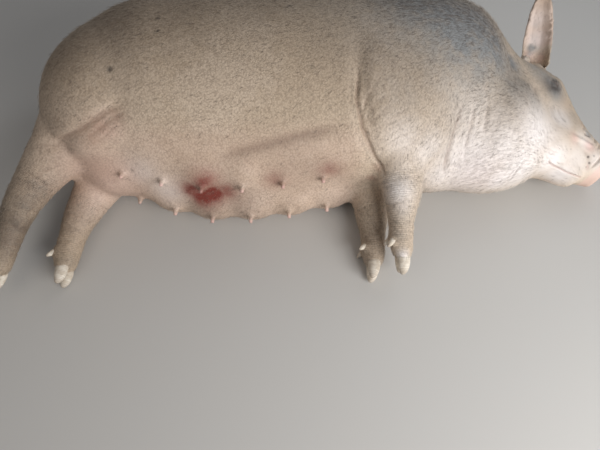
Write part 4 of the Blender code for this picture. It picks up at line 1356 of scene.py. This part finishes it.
def unwrapSkin():  # a coarse copy of the skin, unwrapped, that gives each root its place
    mesh = skinPiece.data.copy()
    copy = addObject("unwrap", mesh)
    fewer = copy.modifiers.new("fewer", "DECIMATE")
    fewer.ratio = 9000 / max(1, len(mesh.polygons))
    settled(copy)
    for other in bpy.context.selected_objects:
        other.select_set(False)
    copy.select_set(True)
    bpy.context.view_layer.objects.active = copy
    bpy.ops.object.mode_set(mode="EDIT")
    bpy.ops.mesh.select_all(action="SELECT")
    bpy.ops.uv.smart_project(angle_limit=math.radians(66), island_margin=0.004)
    bpy.ops.object.mode_set(mode="OBJECT")
    mesh = copy.data
    mesh.calc_loop_triangles()
    loops = gathered(mesh.loop_triangles, "loops", 3, np.int32)
    corners = gathered(mesh.loop_triangles, "vertices", 3, np.int32)
    uv = gathered(mesh.uv_layers.active.data, "uv", 2)
    points = coordinates(mesh)
    tree = BVHTree.FromPolygons([tuple(p) for p in points], [tuple(map(int, c)) for c in corners])
    flat = uv[loops]
    bpy.data.objects.remove(copy)
    return tree, points[corners], flat


unwrapTree, unwrapCorners, unwrapFlat = unwrapSkin()
print("skin unwrapped for the coat")


def unwrapped(places):
    faces = np.array([unwrapTree.find_nearest(place)[2] for place in places])
    a, b, c = (unwrapCorners[faces, i] for i in range(3))
    first, second, away = b - a, c - a, places - a
    d00, d01, d11 = (first * first).sum(1), (first * second).sum(1), (second * second).sum(1)
    d20, d21 = (away * first).sum(1), (away * second).sum(1)
    scale = np.maximum(d00 * d11 - d01 * d01, 1e-18)
    v = np.clip((d11 * d20 - d01 * d21) / scale, 0, 1)
    w = np.clip((d00 * d21 - d01 * d20) / scale, 0, 1)
    u = np.clip(1 - v - w, 0, 1)
    corners = unwrapFlat[faces]
    return corners[:, 0] * u[:, None] + corners[:, 1] * v[:, None] + corners[:, 2] * w[:, None]


def coatFinish():
    finish = Finish("coat")
    tone = hideTone(finish)
    shade = finish.attribute("shade")  # 0 for a dark tuft, up to 1 for a pale one
    light = finish.between(shade, 0.3, 1.0) * (1 - finish.attribute("grey") * 0.8) * 0.28
    tone = finish.blend(light.clipped(), tone, tones["paleHair"])
    tone = finish.blend(1 - finish.between(shade, 0.05, 0.15), tone, tones["darkHair"])
    return finish.surface({"Base Color": tone, "Roughness": 0.55})


hairFinish = coatFinish()


def addCoat(name, tufts, bent):
    places, normals, aims = tufts["places"], tufts["normals"], tufts["aims"]
    count = len(places)
    along = aims - normals * (aims * normals).sum(axis=1, keepdims=True)
    along /= np.maximum(np.linalg.norm(along, axis=1, keepdims=True), 1e-9)
    across = np.cross(normals, along)
    turn = rng.normal(0, 0.22, count)[:, None]
    along = along * np.cos(turn) + across * np.sin(turn)
    across = np.cross(normals, along)
    half = 0.5 * tufts["widths"][:, None]
    root = places - normals * coat["sink"]
    lift = tufts["lifts"][:, None]
    reach = tufts["lengths"][:, None]
    tip = root + along * reach * np.cos(lift) + normals * reach * np.sin(lift)
    ring = [root - across * half, root + across * half, root + normals * half * 1.3]
    uvShift = [(-0.5, -0.5), (0.5, -0.5), (0.0, -0.3)]
    if bent:  # a middle ring that bows it over
        steep = lift * 1.5
        middle = root + 0.5 * reach * (along * np.cos(steep) + normals * np.sin(steep))
        ring += [middle - across * half * 0.8, middle + across * half * 0.8, middle + normals * half]
        uvShift += [(-0.4, 0.1), (0.4, 0.1), (0.0, 0.2)]
        faces = [(0, 2, 1), (0, 1, 4), (0, 4, 3), (1, 2, 5), (1, 5, 4), (2, 0, 3), (2, 3, 5),
                 (3, 4, 6), (4, 5, 6), (5, 3, 6)]
    else:
        faces = [(0, 2, 1), (0, 1, 3), (1, 2, 3), (2, 0, 3)]
    ring.append(tip)
    uvShift.append((0.0, 0.5))
    points = np.stack(ring, axis=1)
    size = points.shape[1]
    points[..., 2] = np.maximum(points[..., 2], coat["rest"])
    corners = (np.arange(count)[:, None, None] * size + np.array(faces)[None]).reshape(-1)
    mesh = bpy.data.meshes.new(name)
    mesh.vertices.add(count * size)
    mesh.vertices.foreach_set("co", points.astype(np.float32).ravel())
    mesh.loops.add(len(corners))
    mesh.loops.foreach_set("vertex_index", corners.astype(np.int32))
    mesh.polygons.add(len(corners) // 3)
    mesh.polygons.foreach_set("loop_start", np.arange(0, len(corners), 3, dtype=np.int32))
    mesh.update(calc_edges=True)
    flat = unwrapped(places)[:, None] + coat["patch"] * np.array(uvShift)[None]
    layer = mesh.uv_layers.new(name="OFBake")
    layer.data.foreach_set("uv", flat.reshape(-1, 2)[corners].astype(np.float32).ravel())
    for key in carried + ("shade",):
        carry(mesh, key, np.repeat(tufts[key], size))
    smoothShaded(mesh)
    faced = directions(mesh) * coat["relief"] + np.repeat(normals, size, axis=0)
    faced /= np.linalg.norm(faced, axis=1, keepdims=True)
    mesh.normals_split_custom_set_from_vertices(faced.tolist())  # shaded like the skin below
    mesh.materials.append(hairFinish)
    made = addObject(name, mesh)
    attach(made, "root")


def shades(tufts):
    count = len(tufts["grey"])
    shade = rng.uniform(0.25, 1.0, count)
    share = coat["share"] * (1 + 4 * tufts["grey"]) * (1 - 0.85 * np.clip(tufts["pale"], 0, 1))
    shade[rng.random(count) < share] = 0.0
    return shade


def layCoat(name, tufts, most, bent):  # in pieces of even size
    total = len(tufts["places"])
    pieces = math.ceil(total / most)
    for i in range(pieces):
        part = slice(i * total // pieces, (i + 1) * total // pieces)
        addCoat(f"{name}_{i + 1}", {key: value[part] for key, value in tufts.items()}, bent)


def flatCoat():
    weight = skinDense * (1 - hairless) * (1 - 0.5 * mark["inEar"])
    facing = np.clip(0.75 + 0.5 * hide.normals[:, 2], 0.35, 1)
    tufts = pickRoots(coat["flat"], weight * facing)
    order = np.argsort(tufts["places"][:, 0])
    tufts = {key: value[order] for key, value in tufts.items()}
    aims, lengths, _ = lieAt(tufts["places"])
    count = len(lengths)
    lengths = lengths * rng.uniform(0.7, 1.3, count)
    widths = coat["width"] * np.clip(lengths / 0.011, 0.45, 1.2) * rng.uniform(0.7, 1.2, count)
    lifts = rng.uniform(0.04, 0.14, count)
    tufts.update(aims=aims, lengths=lengths, widths=widths, lifts=lifts, shade=shades(tufts))
    layCoat("coat", tufts, coat["mostFlat"], False)


def edgeCoat():
    points, normals = hide.points, hide.normals
    place = headPlaces(points)
    crest = bell(points[:, 1] - 0.32, 0.07) * bevelStep((points[:, 2] - 0.08) / 0.08)
    crest *= np.where(points[:, 0] > 0.05, 1.0, 0.5)
    jowl = bevelStep((-place[:, 1] - 0.45) / 0.2) * (place[:, 0] > -0.1) * (place[:, 0] < 0.95) * 0.7
    rim = mark["onEar"] * bevelStep((mark["proud"] - 0.0022) / 0.004) * 4 + mark["onEar"] * 0.8
    tail = inBox(points, "tail") * (1 + 4 * bevelStep((0.09 - points[:, 2]) / 0.06))
    legs = 0.7 * (points[:, 1] < -0.17)
    weight = (0.12 + crest + jowl + rim + tail + legs) * (1 - hairless) + 14 * mark["lash"]
    tufts = pickRoots(coat["edge"], weight)
    aims, lengths, _ = lieAt(tufts["places"])
    count = len(lengths)
    lengths = lengths * rng.uniform(1.0, 1.55, count)
    lifts = rng.uniform(0.15, 0.42, count)
    onLid = mark["lash"][tufts["near"]] > 0.3
    lengths[onLid] = rng.uniform(0.008, 0.013, onLid.sum())
    lifts[onLid] = rng.uniform(0.4, 0.7, onLid.sum())
    widths = coat["width"] * 0.85 * np.clip(lengths / 0.012, 0.45, 1.2)
    tufts.update(aims=aims, lengths=lengths, widths=widths, lifts=lifts, shade=shades(tufts))
    layCoat("bristles", tufts, coat["mostEdge"], True)


flatCoat()
print("flat coat laid")
edgeCoat()
print("bristles set")
